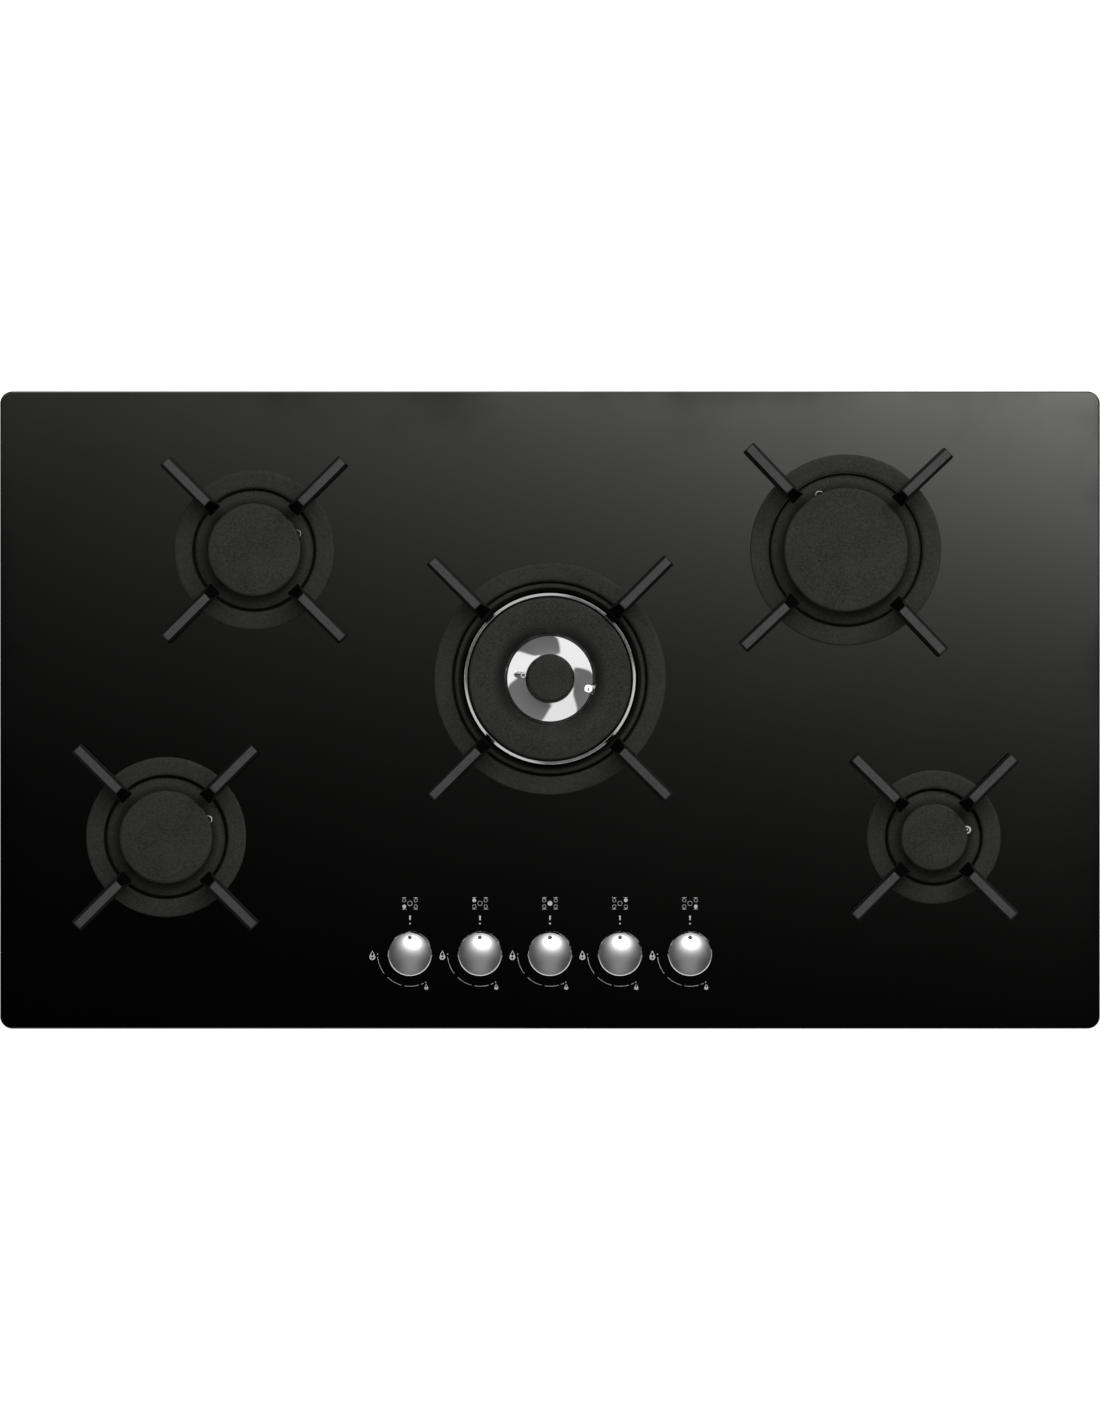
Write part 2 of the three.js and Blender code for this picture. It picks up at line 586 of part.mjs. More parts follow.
// The lip inside the outer crown ends the bowl, and the inner crown lies on the ledge below it
function wokOuterCrown() {
  const innerWall = WOK_CAP_INNER + SPREADER_INSET;
  const outerWall = WOK_CAP_RADIUS - SPREADER_INSET;
  const plateUnder = WOK_CROWN_HEIGHT - WOK_RIM_THICKNESS;
  const ledgeInner = WOK_LIP_RADIUS - WOK_LEDGE_WIDTH;
  const ledgeTop = bowlLevel(ledgeInner) - WOK_BOWL_WALL - TOUCH;
  const ledgeUnder = ledgeTop - WOK_LEDGE_THICKNESS;
  const crown = turned([
    [WOK_CAP_INNER, WOK_FLOOR_TOP + TOUCH],
    [WOK_CAP_INNER + WOK_LEG, WOK_FLOOR_TOP + TOUCH],
    [WOK_CAP_INNER + WOK_LEG, plateUnder],
    [WOK_RIM_RADIUS, plateUnder],
    [WOK_RIM_RADIUS, WOK_CROWN_HEIGHT - WOK_RIM_DROP],
    [WOK_RIM_INNER, WOK_CROWN_HEIGHT + WOK_RIM_RISE],
    [WOK_RIM_INNER, WOK_CROWN_HEIGHT],
    [outerWall, WOK_CROWN_HEIGHT],
    [outerWall, WOK_PORT_TOP],
    [outerWall - PORT_WALL, WOK_PORT_TOP],
    [outerWall - PORT_WALL, WOK_CROWN_HEIGHT],
    [innerWall + PORT_WALL, WOK_CROWN_HEIGHT],
    [innerWall + PORT_WALL, WOK_PORT_TOP],
    [innerWall, WOK_PORT_TOP],
    [innerWall, WOK_CROWN_HEIGHT],
    [WOK_CAP_INNER, WOK_CROWN_HEIGHT],
    [WOK_LIP_RADIUS, bowlLevel(WOK_LIP_RADIUS)],
    [WOK_LIP_RADIUS, ledgeTop],
    [ledgeInner, ledgeTop],
    [ledgeInner, ledgeUnder],
    [WOK_CAP_INNER, ledgeUnder],
  ], WIDE_ROUND);
  return cut(
    crown,
    ...portSlots(outerWall - PORT_WALL, outerWall, WOK_PORT_TOP),
    igniterHole(wok, ledgeUnder - BESIDE, WOK_CROWN_HEIGHT + BESIDE));
}

function wokOuterCap() {
  const lipInner = WOK_CAP_INNER + SPREADER_INSET + PORT_WALL + BESIDE;
  const lipOuter = WOK_CAP_RADIUS - SPREADER_INSET - PORT_WALL - BESIDE;
  return turned([
    [WOK_CAP_INNER, 0],
    [lipInner, 0],
    [lipInner, -CAP_LOCATOR],
    [lipOuter, -CAP_LOCATOR],
    [lipOuter, 0],
    [WOK_CAP_RADIUS, 0],
    [WOK_CAP_RADIUS, WOK_CAP_THICKNESS - CAP_ROUNDING],
    [WOK_CAP_RADIUS - CAP_ROUNDING, WOK_CAP_THICKNESS],
    [WOK_CAP_INNER + CAP_ROUNDING, WOK_CAP_THICKNESS],
    [WOK_CAP_INNER, WOK_CAP_THICKNESS - CAP_ROUNDING],
  ], WIDE_ROUND);
}

function wokInnerCrown() {
  const portInner = WOK_INNER_PORTS - PORT_WALL + BESIDE;
  const plateUnder = WOK_FLOOR_TOP + WOK_TUBE_RISE + TOUCH;
  const bowlFoot = bowlLevel(WOK_INNER_PORTS);
  const bowl = (offset) => Array.from({ length: WOK_BOWL_STEPS }, (_, step) => {
    const share = step / (WOK_BOWL_STEPS - 1);
    const radius = THREE.MathUtils.lerp(WOK_INNER_CAP_RADIUS, WOK_BOWL_RADIUS, share);
    return [radius, bowlLevel(radius) - offset];
  });
  const crown = turned([
    [WOK_THROAT, plateUnder],
    [WOK_INNER_PORTS, plateUnder],
    [WOK_INNER_PORTS, bowlFoot - WOK_BOWL_WALL],
    ...bowl(WOK_BOWL_WALL),
    ...bowl(0).reverse(),
    [WOK_INNER_PORTS, bowlFoot],
    [WOK_INNER_PORTS, WOK_INNER_PORT_TOP],
    [portInner, WOK_INNER_PORT_TOP],
    [portInner, bowlFoot],
    [WOK_THROAT, bowlFoot],
  ], WIDE_ROUND);
  const [holeLow, holeHigh] = [plateUnder - BESIDE, WOK_CROWN_HEIGHT + BESIDE];
  return cut(
    crown,
    ...portSlots(portInner, WOK_INNER_PORTS, WOK_INNER_PORT_TOP),
    igniterHole(wok, holeLow, holeHigh),
    thermocoupleHole(holeLow, holeHigh));
}

function wokInnerCap() {
  const locator = WOK_INNER_PORTS - PORT_WALL;
  return turned([
    [0, -CAP_LOCATOR],
    [locator, -CAP_LOCATOR],
    [locator, 0],
    [WOK_INNER_CAP_RADIUS, 0],
    [WOK_INNER_CAP_RADIUS, WOK_INNER_CAP_THICKNESS - CAP_ROUNDING],
    [WOK_INNER_CAP_RADIUS - CAP_ROUNDING, WOK_INNER_CAP_THICKNESS],
    [0, WOK_INNER_CAP_THICKNESS],
  ], SMALL_ROUND * 2);
}

// An igniter whose shoulder stands below the level under: ceramic, then a metal pin
function igniter(under) {
  const shoulderTop = under - TOUCH;
  const shoulderBottom = shoulderTop - IGNITER_SHOULDER_HEIGHT;
  return turned([
    [0, shoulderBottom - IGNITER_TAIL],
    [IGNITER_TAIL_RADIUS, shoulderBottom - IGNITER_TAIL],
    [IGNITER_TAIL_RADIUS, shoulderBottom],
    [CERAMIC_RADIUS + IGNITER_SHOULDER, shoulderBottom],
    [CERAMIC_RADIUS + IGNITER_SHOULDER, shoulderTop],
    [CERAMIC_RADIUS, shoulderTop],
    [CERAMIC_RADIUS, IGNITER_TOP],
    [IGNITER_PIN_RADIUS, IGNITER_TOP],
    [IGNITER_PIN_RADIUS, IGNITER_TOP + IGNITER_PIN],
    [0, IGNITER_TOP + IGNITER_PIN],
  ], TINY_ROUND);
}

function thermocouple() {
  const shoulderTop = -WOK_FLOOR_DEPTH - TOUCH;
  const shoulder = THERMOCOUPLE_RADIUS + IGNITER_SHOULDER + BESIDE;
  return turned([
    [0, shoulderTop - THERMOCOUPLE_TAIL],
    [THERMOCOUPLE_RADIUS, shoulderTop - THERMOCOUPLE_TAIL],
    [THERMOCOUPLE_RADIUS, shoulderTop - IGNITER_SHOULDER_HEIGHT],
    [shoulder, shoulderTop - IGNITER_SHOULDER_HEIGHT],
    [shoulder, shoulderTop],
    [THERMOCOUPLE_RADIUS, shoulderTop],
    [THERMOCOUPLE_RADIUS, THERMOCOUPLE_TOP - THERMOCOUPLE_RADIUS / 2],
    [THERMOCOUPLE_RADIUS / 2, THERMOCOUPLE_TOP],
    [0, THERMOCOUPLE_TOP],
  ], TINY_ROUND);
}

// Pan support: a flat ring on the glass with four tapered fingers

function panSupport(burner) {
  const ringInner = burner.flange + RING_GAP;
  const ringOuter = ringInner + RING_WIDTH;
  const ring = turned([
    [ringInner, TOUCH],
    [ringOuter, TOUCH],
    [ringOuter, RING_HEIGHT - RING_ROUNDING],
    [ringOuter - RING_ROUNDING, RING_HEIGHT],
    [ringInner + RING_ROUNDING, RING_HEIGHT],
    [ringInner, RING_HEIGHT - RING_ROUNDING],
  ], burner === wok ? WIDE_ROUND : ROUND);
  const fingers = Array.from({ length: FINGER_COUNT }, (_, index) =>
    finger(ringInner, ringOuter, ringOuter + burner.reach)
      .rotateZ(2 * Math.PI * (index + 0.5) / FINGER_COUNT));
  return joined(ring, ...fingers).rotateZ(THREE.MathUtils.degToRad(burner.turn));
}

// One finger along +X: its side view, with sides that lean in towards its top
function finger(ringInner, ringOuter, tip) {
  const foot = RING_HEIGHT / 2;
  const nose = ringInner - NOSE_REACH;
  const shoulder = PAN_HEIGHT - FINGER_END;
  const [half, topHalf] = [FINGER_FOOT_WIDTH / 2, FINGER_TOP_WIDTH / 2];
  const outline = (points) => new THREE.Shape(points.map(([x, y]) => new THREE.Vector2(x, y)));
  const sideView = outline([
    [ringInner + RING_ROUNDING, foot],
    [ringOuter - RING_ROUNDING, foot],
    [ringOuter - RING_ROUNDING, RING_HEIGHT],
    [ringOuter + FINGER_KNEE, PAN_HEIGHT - FINGER_ARM],
    [tip - FINGER_BEVEL, shoulder],
    [tip, shoulder + FINGER_BEVEL],
    [tip, PAN_HEIGHT - FINGER_BEVEL],
    [tip - FINGER_BEVEL, PAN_HEIGHT],
    [nose + NOSE_LENGTH, PAN_HEIGHT],
    [nose, PAN_HEIGHT - NOSE_DROP],
    [nose, PAN_HEIGHT - NOSE_DROP - NOSE_HEIGHT],
  ]);
  const endView = outline([
    [-half, foot],
    [half, foot],
    [half, shoulder],
    [topHalf, PAN_HEIGHT],
    [-topHalf, PAN_HEIGHT],
    [-half, shoulder],
  ]);
  const plate = prism(sideView, -half, half).rotateX(Math.PI / 2);
  return overlap(plate, prism(endView, nose, tip).rotateX(Math.PI / 2).rotateZ(Math.PI / 2));
}

// Knobs, spindles and taps

function knob() {
  const faceRadius = KNOB_RADIUS - KNOB_TAPER - KNOB_EDGE;
  const faceLevel = (radius) => KNOB_HEIGHT - KNOB_SAG * (radius / faceRadius) ** 2;
  const dome = Array.from({ length: KNOB_DOME_STEPS }, (_, step) => {
    const radius = faceRadius * (1 - step / KNOB_DOME_STEPS);
    return [radius, faceLevel(radius)];
  });
  const shell = turned([
    [0, 0],
    [KNOB_RADIUS, 0],
    [KNOB_RADIUS, KNOB_RIM],
    [KNOB_RADIUS - KNOB_TAPER / 2, KNOB_RIM],
    [KNOB_RADIUS - KNOB_TAPER, faceLevel(faceRadius) - KNOB_EDGE],
    ...dome,
    [0, KNOB_HEIGHT],
  ]);
  const socket = prism(spindleSection(RUNNING), -BESIDE, KNOB_BORE_DEPTH, TINY_ROUND);
  const dot = post(KNOB_DOT_RADIUS, faceLevel(KNOB_DOT_OFFSET) - KNOB_DOT_DEPTH, KNOB_HEIGHT, TINY_ROUND)
    .translate(0, KNOB_DOT_OFFSET, 0);
  return cut(shell, socket, dot);
}

function spindle() {
  const rod = prism(spindleSection(0), 0, SPINDLE_TOP - SPINDLE_BASE, TINY_ROUND);
  const collarLow = COLLAR_BASE - SPINDLE_BASE;
  return joined(rod, post(COLLAR_RADIUS, collarLow, collarLow + COLLAR_THICKNESS));
}

function tapPlug() {
  const cone = turned([
    [0, 0], [PLUG_BOTTOM_RADIUS, 0], [PLUG_TOP_RADIUS, PLUG_HEIGHT], [0, PLUG_HEIGHT],
  ], TURNING_ROUND);
  const socket = prism(spindleSection(RUNNING), PLUG_FLOOR, PLUG_HEIGHT + BESIDE, TINY_ROUND);
  const port = barAlongY(PLUG_PORT_RADIUS, -PLUG_TOP_RADIUS, PLUG_TOP_RADIUS, TINY_ROUND)
    .translate(0, 0, TAP_PORT - PLUG_BASE);
  return cut(cone, socket, port);
}

function tapBody() {
  const barrel = post(PLUG_TOP_RADIUS + RUNNING + TAP_WALL, 0, TAP_HEIGHT, TURNING_ROUND);
  const bosses = barAlongY(TAP_BOSS_RADIUS, -TAP_BOSS_REACH, TAP_BOSS_REACH, TINY_ROUND)
    .translate(0, 0, TAP_PORT_HEIGHT);
  const bore = turned([
    [0, TAP_FLOOR],
    [PLUG_BOTTOM_RADIUS + RUNNING, TAP_FLOOR],
    [PLUG_TOP_RADIUS + RUNNING, TAP_HEIGHT + BESIDE],
    [0, TAP_HEIGHT + BESIDE],
  ], TURNING_ROUND);
  const port = barAlongY(TAP_PORT_RADIUS, -TAP_BOSS_REACH - BESIDE, TAP_BOSS_REACH + BESIDE, TINY_ROUND)
    .translate(0, 0, TAP_PORT_HEIGHT);
  return cut(joined(barrel, bosses), bore, port);
}

// A pipe from a tap to its burner, square to the face that it meets at each end
function gasPipe(burner) {
  const start = new THREE.Vector3(burner.knobX, TAP_Y + TAP_BOSS_REACH + TOUCH, TAP_PORT);
  const out = new THREE.Vector3(Math.cos(burner.gasAngle), Math.sin(burner.gasAngle), 0);
  const end = new THREE.Vector3(burner.x, burner.y, GLASS_TOP + burner.gasLevel)
    .addScaledVector(out, burner.gasBoss + TOUCH);
  const pull = start.distanceTo(end) / 3;
  const path = new THREE.CubicBezierCurve3(
    start,
    start.clone().add(new THREE.Vector3(0, pull, 0)),
    end.clone().addScaledVector(out, pull),
    end);
  return tube(path, PIPE_RADIUS, PIPE_STEPS);
}

// The rail along the taps, with the feed pipe that brings gas from the threaded inlet
function gasRail() {
  const half = (burners.length - 1) / 2 * KNOB_PITCH + RAIL_END;
  const bar = new THREE.BoxGeometry(2 * half, RAIL_WIDTH, RAIL_HEIGHT).translate(0, RAIL_Y, TAP_PORT);
  const pads = burners.map((burner) =>
    barAlongY(TAP_BOSS_RADIUS, RAIL_Y, TAP_Y - TAP_BOSS_REACH - TOUCH, TINY_ROUND)
      .translate(burner.knobX, 0, TAP_PORT));
  const corners = [
    [half - BESIDE, RAIL_Y, TAP_PORT],
    [FEED_X - FEED_BEND, RAIL_Y, TAP_PORT],
    [FEED_X, RAIL_Y + FEED_BEND, TAP_PORT],
    [FEED_X, INLET_Y, TAP_PORT],
  ].map((place) => new THREE.Vector3(...place));
  const feed = new THREE.CurvePath();
  const turning = new THREE.Vector3(FEED_X, RAIL_Y, TAP_PORT);
  feed.add(new THREE.LineCurve3(corners[0], corners[1]));
  feed.add(new THREE.QuadraticBezierCurve3(corners[1], turning, corners[2]));
  feed.add(new THREE.LineCurve3(corners[2], corners[3]));
  const threads = Array.from({ length: THREAD_TURNS }, (_, turn) => {
    const low = INLET_RISE + turn * THREAD_PITCH;
    return [[INLET_RADIUS, low + THREAD_PITCH / 4], [INLET_RADIUS - THREAD_DEPTH, low + THREAD_PITCH]];
  }).flat();
  const inlet = turned([
    [INLET_BORE, INLET_RISE],
    [INLET_RADIUS - THREAD_DEPTH, INLET_RISE],
    ...threads,
    [INLET_RADIUS, INLET_RISE + THREAD_TURNS * THREAD_PITCH + THROUGH],
    [INLET_RADIUS, TAP_PORT + FEED_RADIUS + THROUGH],
    [0, TAP_PORT + FEED_RADIUS + THROUGH],
    [0, TAP_PORT],
    [INLET_BORE, TAP_PORT],
    [INLET_BORE, INLET_RISE],
  ], SMALL_ROUND).translate(FEED_X, INLET_Y, 0);
  return joined(bar, ...pads, tube(feed, FEED_RADIUS, FEED_STEPS), inlet);
}

function ignitionModule() {
  const box = slab(MODULE_LENGTH, MODULE_DEPTH, MODULE_CORNER, 0, MODULE_HEIGHT);
  const pitch = (MODULE_LENGTH - 2 * MODULE_CORNER) / TERMINAL_COUNT;
  const terminals = Array.from({ length: TERMINAL_COUNT }, (_, index) =>
    post(TERMINAL_RADIUS, MODULE_HEIGHT - TERMINAL_HEIGHT, MODULE_HEIGHT + TERMINAL_HEIGHT, TINY_ROUND)
      .translate((index - (TERMINAL_COUNT - 1) / 2) * pitch, -MODULE_DEPTH / 4, 0));
  const gland = barAlongY(GLAND_RADIUS, 0, TRAY_DEPTH / 2 + GLAND_PROUD - MODULE_Y)
    .translate(0, 0, GLAND_Z - MODULE_BASE);
  return joined(box, ...terminals, gland);
}

// An angle that is screwed to the tray wall and grips the worktop from below
function fixingBracket() {
  const footTop = SEAL_UNDER - WORKTOP_THICKNESS;
  const angle = new THREE.Shape([
    [0, footTop - BRACKET_SHEET],
    [BRACKET_FOOT, footTop - BRACKET_SHEET],
    [BRACKET_FOOT, footTop],
    [BRACKET_SHEET, footTop],
    [BRACKET_SHEET, footTop + BRACKET_LEG],
    [0, footTop + BRACKET_LEG],
  ].map(([x, z]) => new THREE.Vector2(x, z)));
  const strip = prism(angle, -BRACKET_WIDTH / 2, BRACKET_WIDTH / 2).rotateX(Math.PI / 2);
  const holes = [-1, 1].map((side) =>
    barAlongY(BRACKET_HOLE, -BESIDE, BRACKET_SHEET + BESIDE, TINY_ROUND)
      .rotateZ(-Math.PI / 2)
      .translate(0, side * BRACKET_WIDTH / 4, footTop + BRACKET_LEG / 2));
  return cut(strip, ...holes);
}

// The assembly

add('glass_top', glassTop(), 'blackGlass', 0, 0, GLASS_UNDER);
add('worktop_seal', worktopSeal(), 'foam', 0, 0, SEAL_UNDER);
add('bottom_tray', bottomTray(), 'galvanised');

for (const burner of simpleBurners) {
  const { name, x, y } = burner;
  add(`burner_body_${name}`, burnerBody(burner), 'darkAluminium', x, y, GLASS_TOP);
  add(`flame_spreader_${name}`, flameSpreader(burner), 'aluminium', x, y, GLASS_TOP + SPREADER_BASE);
  add(`burner_cap_${name}`, burnerCap(burner), 'enamel', x, y, GLASS_TOP + CAP_BASE);
}
add('burner_body_wok', wokBody(), 'darkAluminium', wok.x, wok.y, GLASS_TOP);
add('wok_outer_crown', wokOuterCrown(), 'chrome', wok.x, wok.y, GLASS_TOP);
add('wok_inner_crown', wokInnerCrown(), 'chrome', wok.x, wok.y, GLASS_TOP);
add('wok_outer_cap', wokOuterCap(), 'enamel', wok.x, wok.y, GLASS_TOP + WOK_CAP_BASE);
add('wok_inner_cap', wokInnerCap(), 'enamel', wok.x, wok.y, GLASS_TOP + WOK_INNER_CAP_BASE);
const [probeX, probeY] = polar(wok.thermocoupleRadius, wok.thermocouple);
add('wok_thermocouple', thermocouple(), 'steel', wok.x + probeX, wok.y + probeY, GLASS_TOP);

for (const burner of burners) {
  const { name, x, y, knobX } = burner;
  const [igniterX, igniterY] = polar(burner.igniterRadius, burner.igniter);
  const under = burner === wok ? -WOK_FLOOR_DEPTH : TOUCH;
  add(`igniter_${name}`, igniter(under), 'ceramic', x + igniterX, y + igniterY, GLASS_TOP);
  add(`pan_support_${name}`, panSupport(burner), 'castIron', x, y, GLASS_TOP);
  add(`knob_${name}`, knob(), 'satinMetal', knobX, TAP_Y, KNOB_BASE);
  add(`spindle_${name}`, spindle(), 'steel', knobX, TAP_Y, SPINDLE_BASE);
  add(`tap_plug_${name}`, tapPlug(), 'brass', knobX, TAP_Y, PLUG_BASE);
  add(`tap_body_${name}`, tapBody(), 'aluminium', knobX, TAP_Y, TAP_BASE);
  add(`gas_pipe_${name}`, gasPipe(burner), 'aluminium');
}
add('gas_rail', gasRail(), 'steel');
add('ignition_module', ignitionModule(), 'plastic', MODULE_X, MODULE_Y, MODULE_BASE);

const wallX = TRAY_LENGTH / 2 + TOUCH;
add('fixing_bracket_right', fixingBracket(), 'galvanised', wallX);
add('fixing_bracket_left', fixingBracket(), 'galvanised', -wallX).rotation.z = Math.PI;

export default cooktop;
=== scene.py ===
"""A built-in gas cooktop with a black glass top and five burners, seen from straight above."""

import math

import bmesh
import bpy
from mathutils import Matrix, Vector

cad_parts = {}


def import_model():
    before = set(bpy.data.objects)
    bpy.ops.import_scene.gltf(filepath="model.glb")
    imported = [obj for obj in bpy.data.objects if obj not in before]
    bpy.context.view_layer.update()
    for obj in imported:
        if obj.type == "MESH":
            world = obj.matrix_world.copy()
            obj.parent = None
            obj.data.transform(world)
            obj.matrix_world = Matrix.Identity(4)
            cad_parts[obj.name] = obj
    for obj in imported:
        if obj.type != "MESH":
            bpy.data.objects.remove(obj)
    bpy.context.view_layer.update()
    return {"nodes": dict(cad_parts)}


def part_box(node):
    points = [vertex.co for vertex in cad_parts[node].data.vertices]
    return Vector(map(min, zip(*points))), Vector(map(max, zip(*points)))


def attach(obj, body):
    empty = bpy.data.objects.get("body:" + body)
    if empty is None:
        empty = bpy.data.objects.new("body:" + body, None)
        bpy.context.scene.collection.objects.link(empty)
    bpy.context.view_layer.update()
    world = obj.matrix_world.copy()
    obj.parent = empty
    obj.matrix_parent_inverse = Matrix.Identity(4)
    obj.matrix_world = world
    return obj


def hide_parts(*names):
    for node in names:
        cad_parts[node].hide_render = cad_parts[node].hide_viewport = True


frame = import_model()

MM = 0.001
RINGED = ("left_front", "left_rear", "right_rear", "right_front")
BURNERS = ("left_front", "left_rear", "wok", "right_rear", "right_front")


class Span:
    """The box of a CAD node in millimetres: its middle, half sizes, height and levels."""

    def __init__(self, node):
        low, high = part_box(node)
        self.x = (low.x + high.x) / 2 / MM
        self.y = (low.y + high.y) / 2 / MM
        self.half = (high.x - low.x) / 2 / MM
        self.depth = (high.y - low.y) / 2 / MM
        self.low = low.z / MM
        self.high = high.z / MM
        self.height = self.high - self.low
        self.foot = (self.x, self.y, self.low)


def by_burner(ringed, wok):
    """A value for each of the burners with one ring of flames, and another one for the wok burner."""
    return {name: wok if name == "wok" else ringed for name in BURNERS}


# Places that the frame gives
GLASS = Span("glass_top")
TRAY = Span("bottom_tray")
GLASS_TOP = GLASS.high
CENTRE = {name: Span("wok_outer_cap" if name == "wok" else "burner_cap_" + name) for name in BURNERS}
ON_GLASS = {name: (place.x, place.y, GLASS_TOP) for name, place in CENTRE.items()}
IGNITER = {name: Span("igniter_" + name) for name in BURNERS}
THERMOCOUPLE = Span("wok_thermocouple")
WOK_INNER_CAP = Span("wok_inner_cap")
KNOB = {name: Span("knob_" + name) for name in BURNERS}
KNOB_Y = KNOB["wok"].y

# Glass, in millimetres
GLASS_CORNER = 10
GLASS_ROUNDING = 1.2
BEARING = 3.4
SPINDLE_HOLE = 5.5
SEAL_WIDTH = 12

# Tray
TRAY_SHEET = 1
TRAY_CORNER = 12
TRAY_LIP = 5
TRAY_FOOT_ROUNDING = 3
BEAD_LEVEL = 45.5
BEAD_HALF = 2.6
BEAD_DEPTH = 1.2
VENT_LENGTH = 46
VENT_WIDTH = 3.5
VENT_PITCH = 12
VENT_COUNT = 5
FEED_X = 389
INLET_Y = 196
INLET_OPENING = 16
MODULE_X = -347
GLAND_Z = 14.3
GLAND_OPENING = 7.5

# Bracket screws
SCREW_HEAD = 3.4
SCREW_HEAD_HEIGHT = 2.4
SCREW_CROSS = 0.9
SCREW_SPREAD = 15
SCREW_RISE = 16.5
BRACKET_FACE = 1.9

# Burners
FLANGE_WIDTH = 10.5
FLANGE = {name: CENTRE[name].half + FLANGE_WIDTH for name in RINGED}
SEAT_HEIGHT = 6.5
NECK_INSET = 5
BODY_DEPTH = 38
BODY_BORE = 12
SPREADER_INSET = 4
SPREADER_HEIGHT = 10
SPREADER_SKIRT = 6
SPREADER_FLOOR = 2.5
SPREADER_WALL = 2.5
PORT_WALL = 4.5
PORT_WIDTH = 1.5
PORT_DEPTH = 6.5
PORT_PITCH = 4
CAP_THICKNESS = 5
CAP_LOCATOR = 2
SEAT_GAP = 0.3
# How far out from the cap the painted shade on each flange reaches
CAP_SHADE_WIDTH = 6

# Wok burner
WOK_BOWL_RADIUS = 34.95
WOK_BOWL_FOOT = 2.7
WOK_BOWL_RISE = 4.7
WOK_BOWL_KNEE = 33.2
WOK_BOWL_WALL = 1.8
WOK_LIP_RADIUS = 35.1
WOK_CAP_INNER = 36.8
WOK_LEDGE_INNER = 32.1
WOK_LEDGE_LEVELS = (1.2, 3.2)
WOK_CROWN_HEIGHT = 8
WOK_PORT_TOP = 18
WOK_INNER_PORT_TOP = 14
WOK_INNER_PORT_WALL = 4
WOK_RIM_INNER = 66
WOK_RIM_RADIUS = 68.8
WOK_MOUTH = 73
WOK_FLANGE_HEIGHT = 4.5
WOK_FLOOR_TOP = -11
WOK_FLOOR = 3
WOK_TUBE_RADIUS = 13
WOK_TUBE_BORE = 9
WOK_TUBE_TOP = -4
WOK_THROAT = 7
WOK_BODY_DEPTH = 30
WOK_LEG = 3.5
FLANGE["wok"] = 76.3

# Pan supports
RING_GAP = 2
RING_WIDTH = 14.5
RING_HEIGHT = 7
PAN_HEIGHT = 40
FINGER_TOP_WIDTH = 6
FINGER_FOOT_WIDTH = 11
FINGER_SHOULDER = 10
FINGER_EDGE = 0.55
FINGER_OVERHANG = 6
FINGER_NOSE = 9.5
FINGER_REACH = by_burner(36.8, 41.5)
SUPPORT_TURN = {name: -1.5 if name == "right_rear" else 0 for name in BURNERS}

# Knobs
KNOB_DOT_OFFSET = 13.1
KNOB_DOT_RADIUS = 1.65
KNOB_DOT_DEPTH = 1
KNOB_BORE = 4.4
KNOB_BORE_DEPTH = 12
KNOB_SAG = 3.7
KNOB_SHOULDER = 0.6
KNOB_EDGE = 1.15
GROMMET = (4.55, 5.3)
GROMMET_LEVELS = (-6.2, 0.2)

# Igniters and thermocouple
CERAMIC_RADIUS = 3.1
CERAMIC_FOOT = 2.6
CERAMIC_COLLAR = 3.9
CERAMIC_SHOULDER = by_burner(12, 26.3)
RECESS_RADIUS = 1.85
RECESS_DEPTH = by_burner(5, 0.3)
PIN_RADIUS = 0.85
PIN_RISE = 3
IGNITER_HOLE = 3.6
WOK_IGNITER_HOLE = 3.3
# Painted shade round the pin: its radius, and how far its middle is moved towards the burner
PIN_SHADE = {"left_front": (3.1, 0.55), "left_rear": (3.15, 0.3), "wok": (0.5, 0), "right_rear": (3.1, 0.45),
        "right_front": (1.85, 0)}
PROBE_RADIUS = 2.4
PROBE_COLLAR = 3.7
PROBE_HOLE = 2.6

# Sides of round pieces
SMOOTH = 128
FINE = 48


# Outlines and sections

def rounded(points, radius, steps=5, closed=True):
    """The outline with its corners rounded. radius is one number, or one for each corner."""
    count = len(points)
    radii = radius if isinstance(radius, list) else [radius] * count
    result = []
    for index, corner in enumerate(points):
        here = Vector(corner)
        ends = not closed and index in (0, count - 1)
        if ends or radii[index] <= 0:
            result.append(tuple(here))
            continue
        before = Vector(points[index - 1]) - here
        after = Vector(points[(index + 1) % count]) - here
        half_turn = before.angle(after) / 2
        reach = radii[index] / math.tan(half_turn)
        reach = min(reach, 0.48 * before.length, 0.48 * after.length)
        start = here + before.normalized() * reach
        end = here + after.normalized() * reach
        for step in range(steps + 1):
            share = step / steps
            result.append(tuple((1 - share) ** 2 * start + 2 * share * (1 - share) * here + share ** 2 * end))
    return result


def circle(x, y, radius, sides=FINE):
    angles = [2 * math.pi * side / sides for side in range(sides)]
    return [(x + radius * math.cos(angle), y + radius * math.sin(angle)) for angle in angles]


def rounded_box(half_x, half_y, corner, sides=12):
    """A rectangle about the origin whose corners are arcs."""
    points = []
    for quarter, (sx, sy) in enumerate(((1, 1), (-1, 1), (-1, -1), (1, -1))):
        for side in range(sides + 1):
            angle = math.pi / 2 * (quarter + side / sides)
            points.append((sx * (half_x - corner) + corner * math.cos(angle),
                           sy * (half_y - corner) + corner * math.sin(angle)))
    return points


def polar(radius, degrees):
    angle = math.radians(degrees)
    return radius * math.cos(angle), radius * math.sin(angle)


# Meshes

def added(name, data):
    """A new object in the scene."""
    thing = bpy.data.objects.new(name, data)
    bpy.context.scene.collection.objects.link(thing)
    return thing


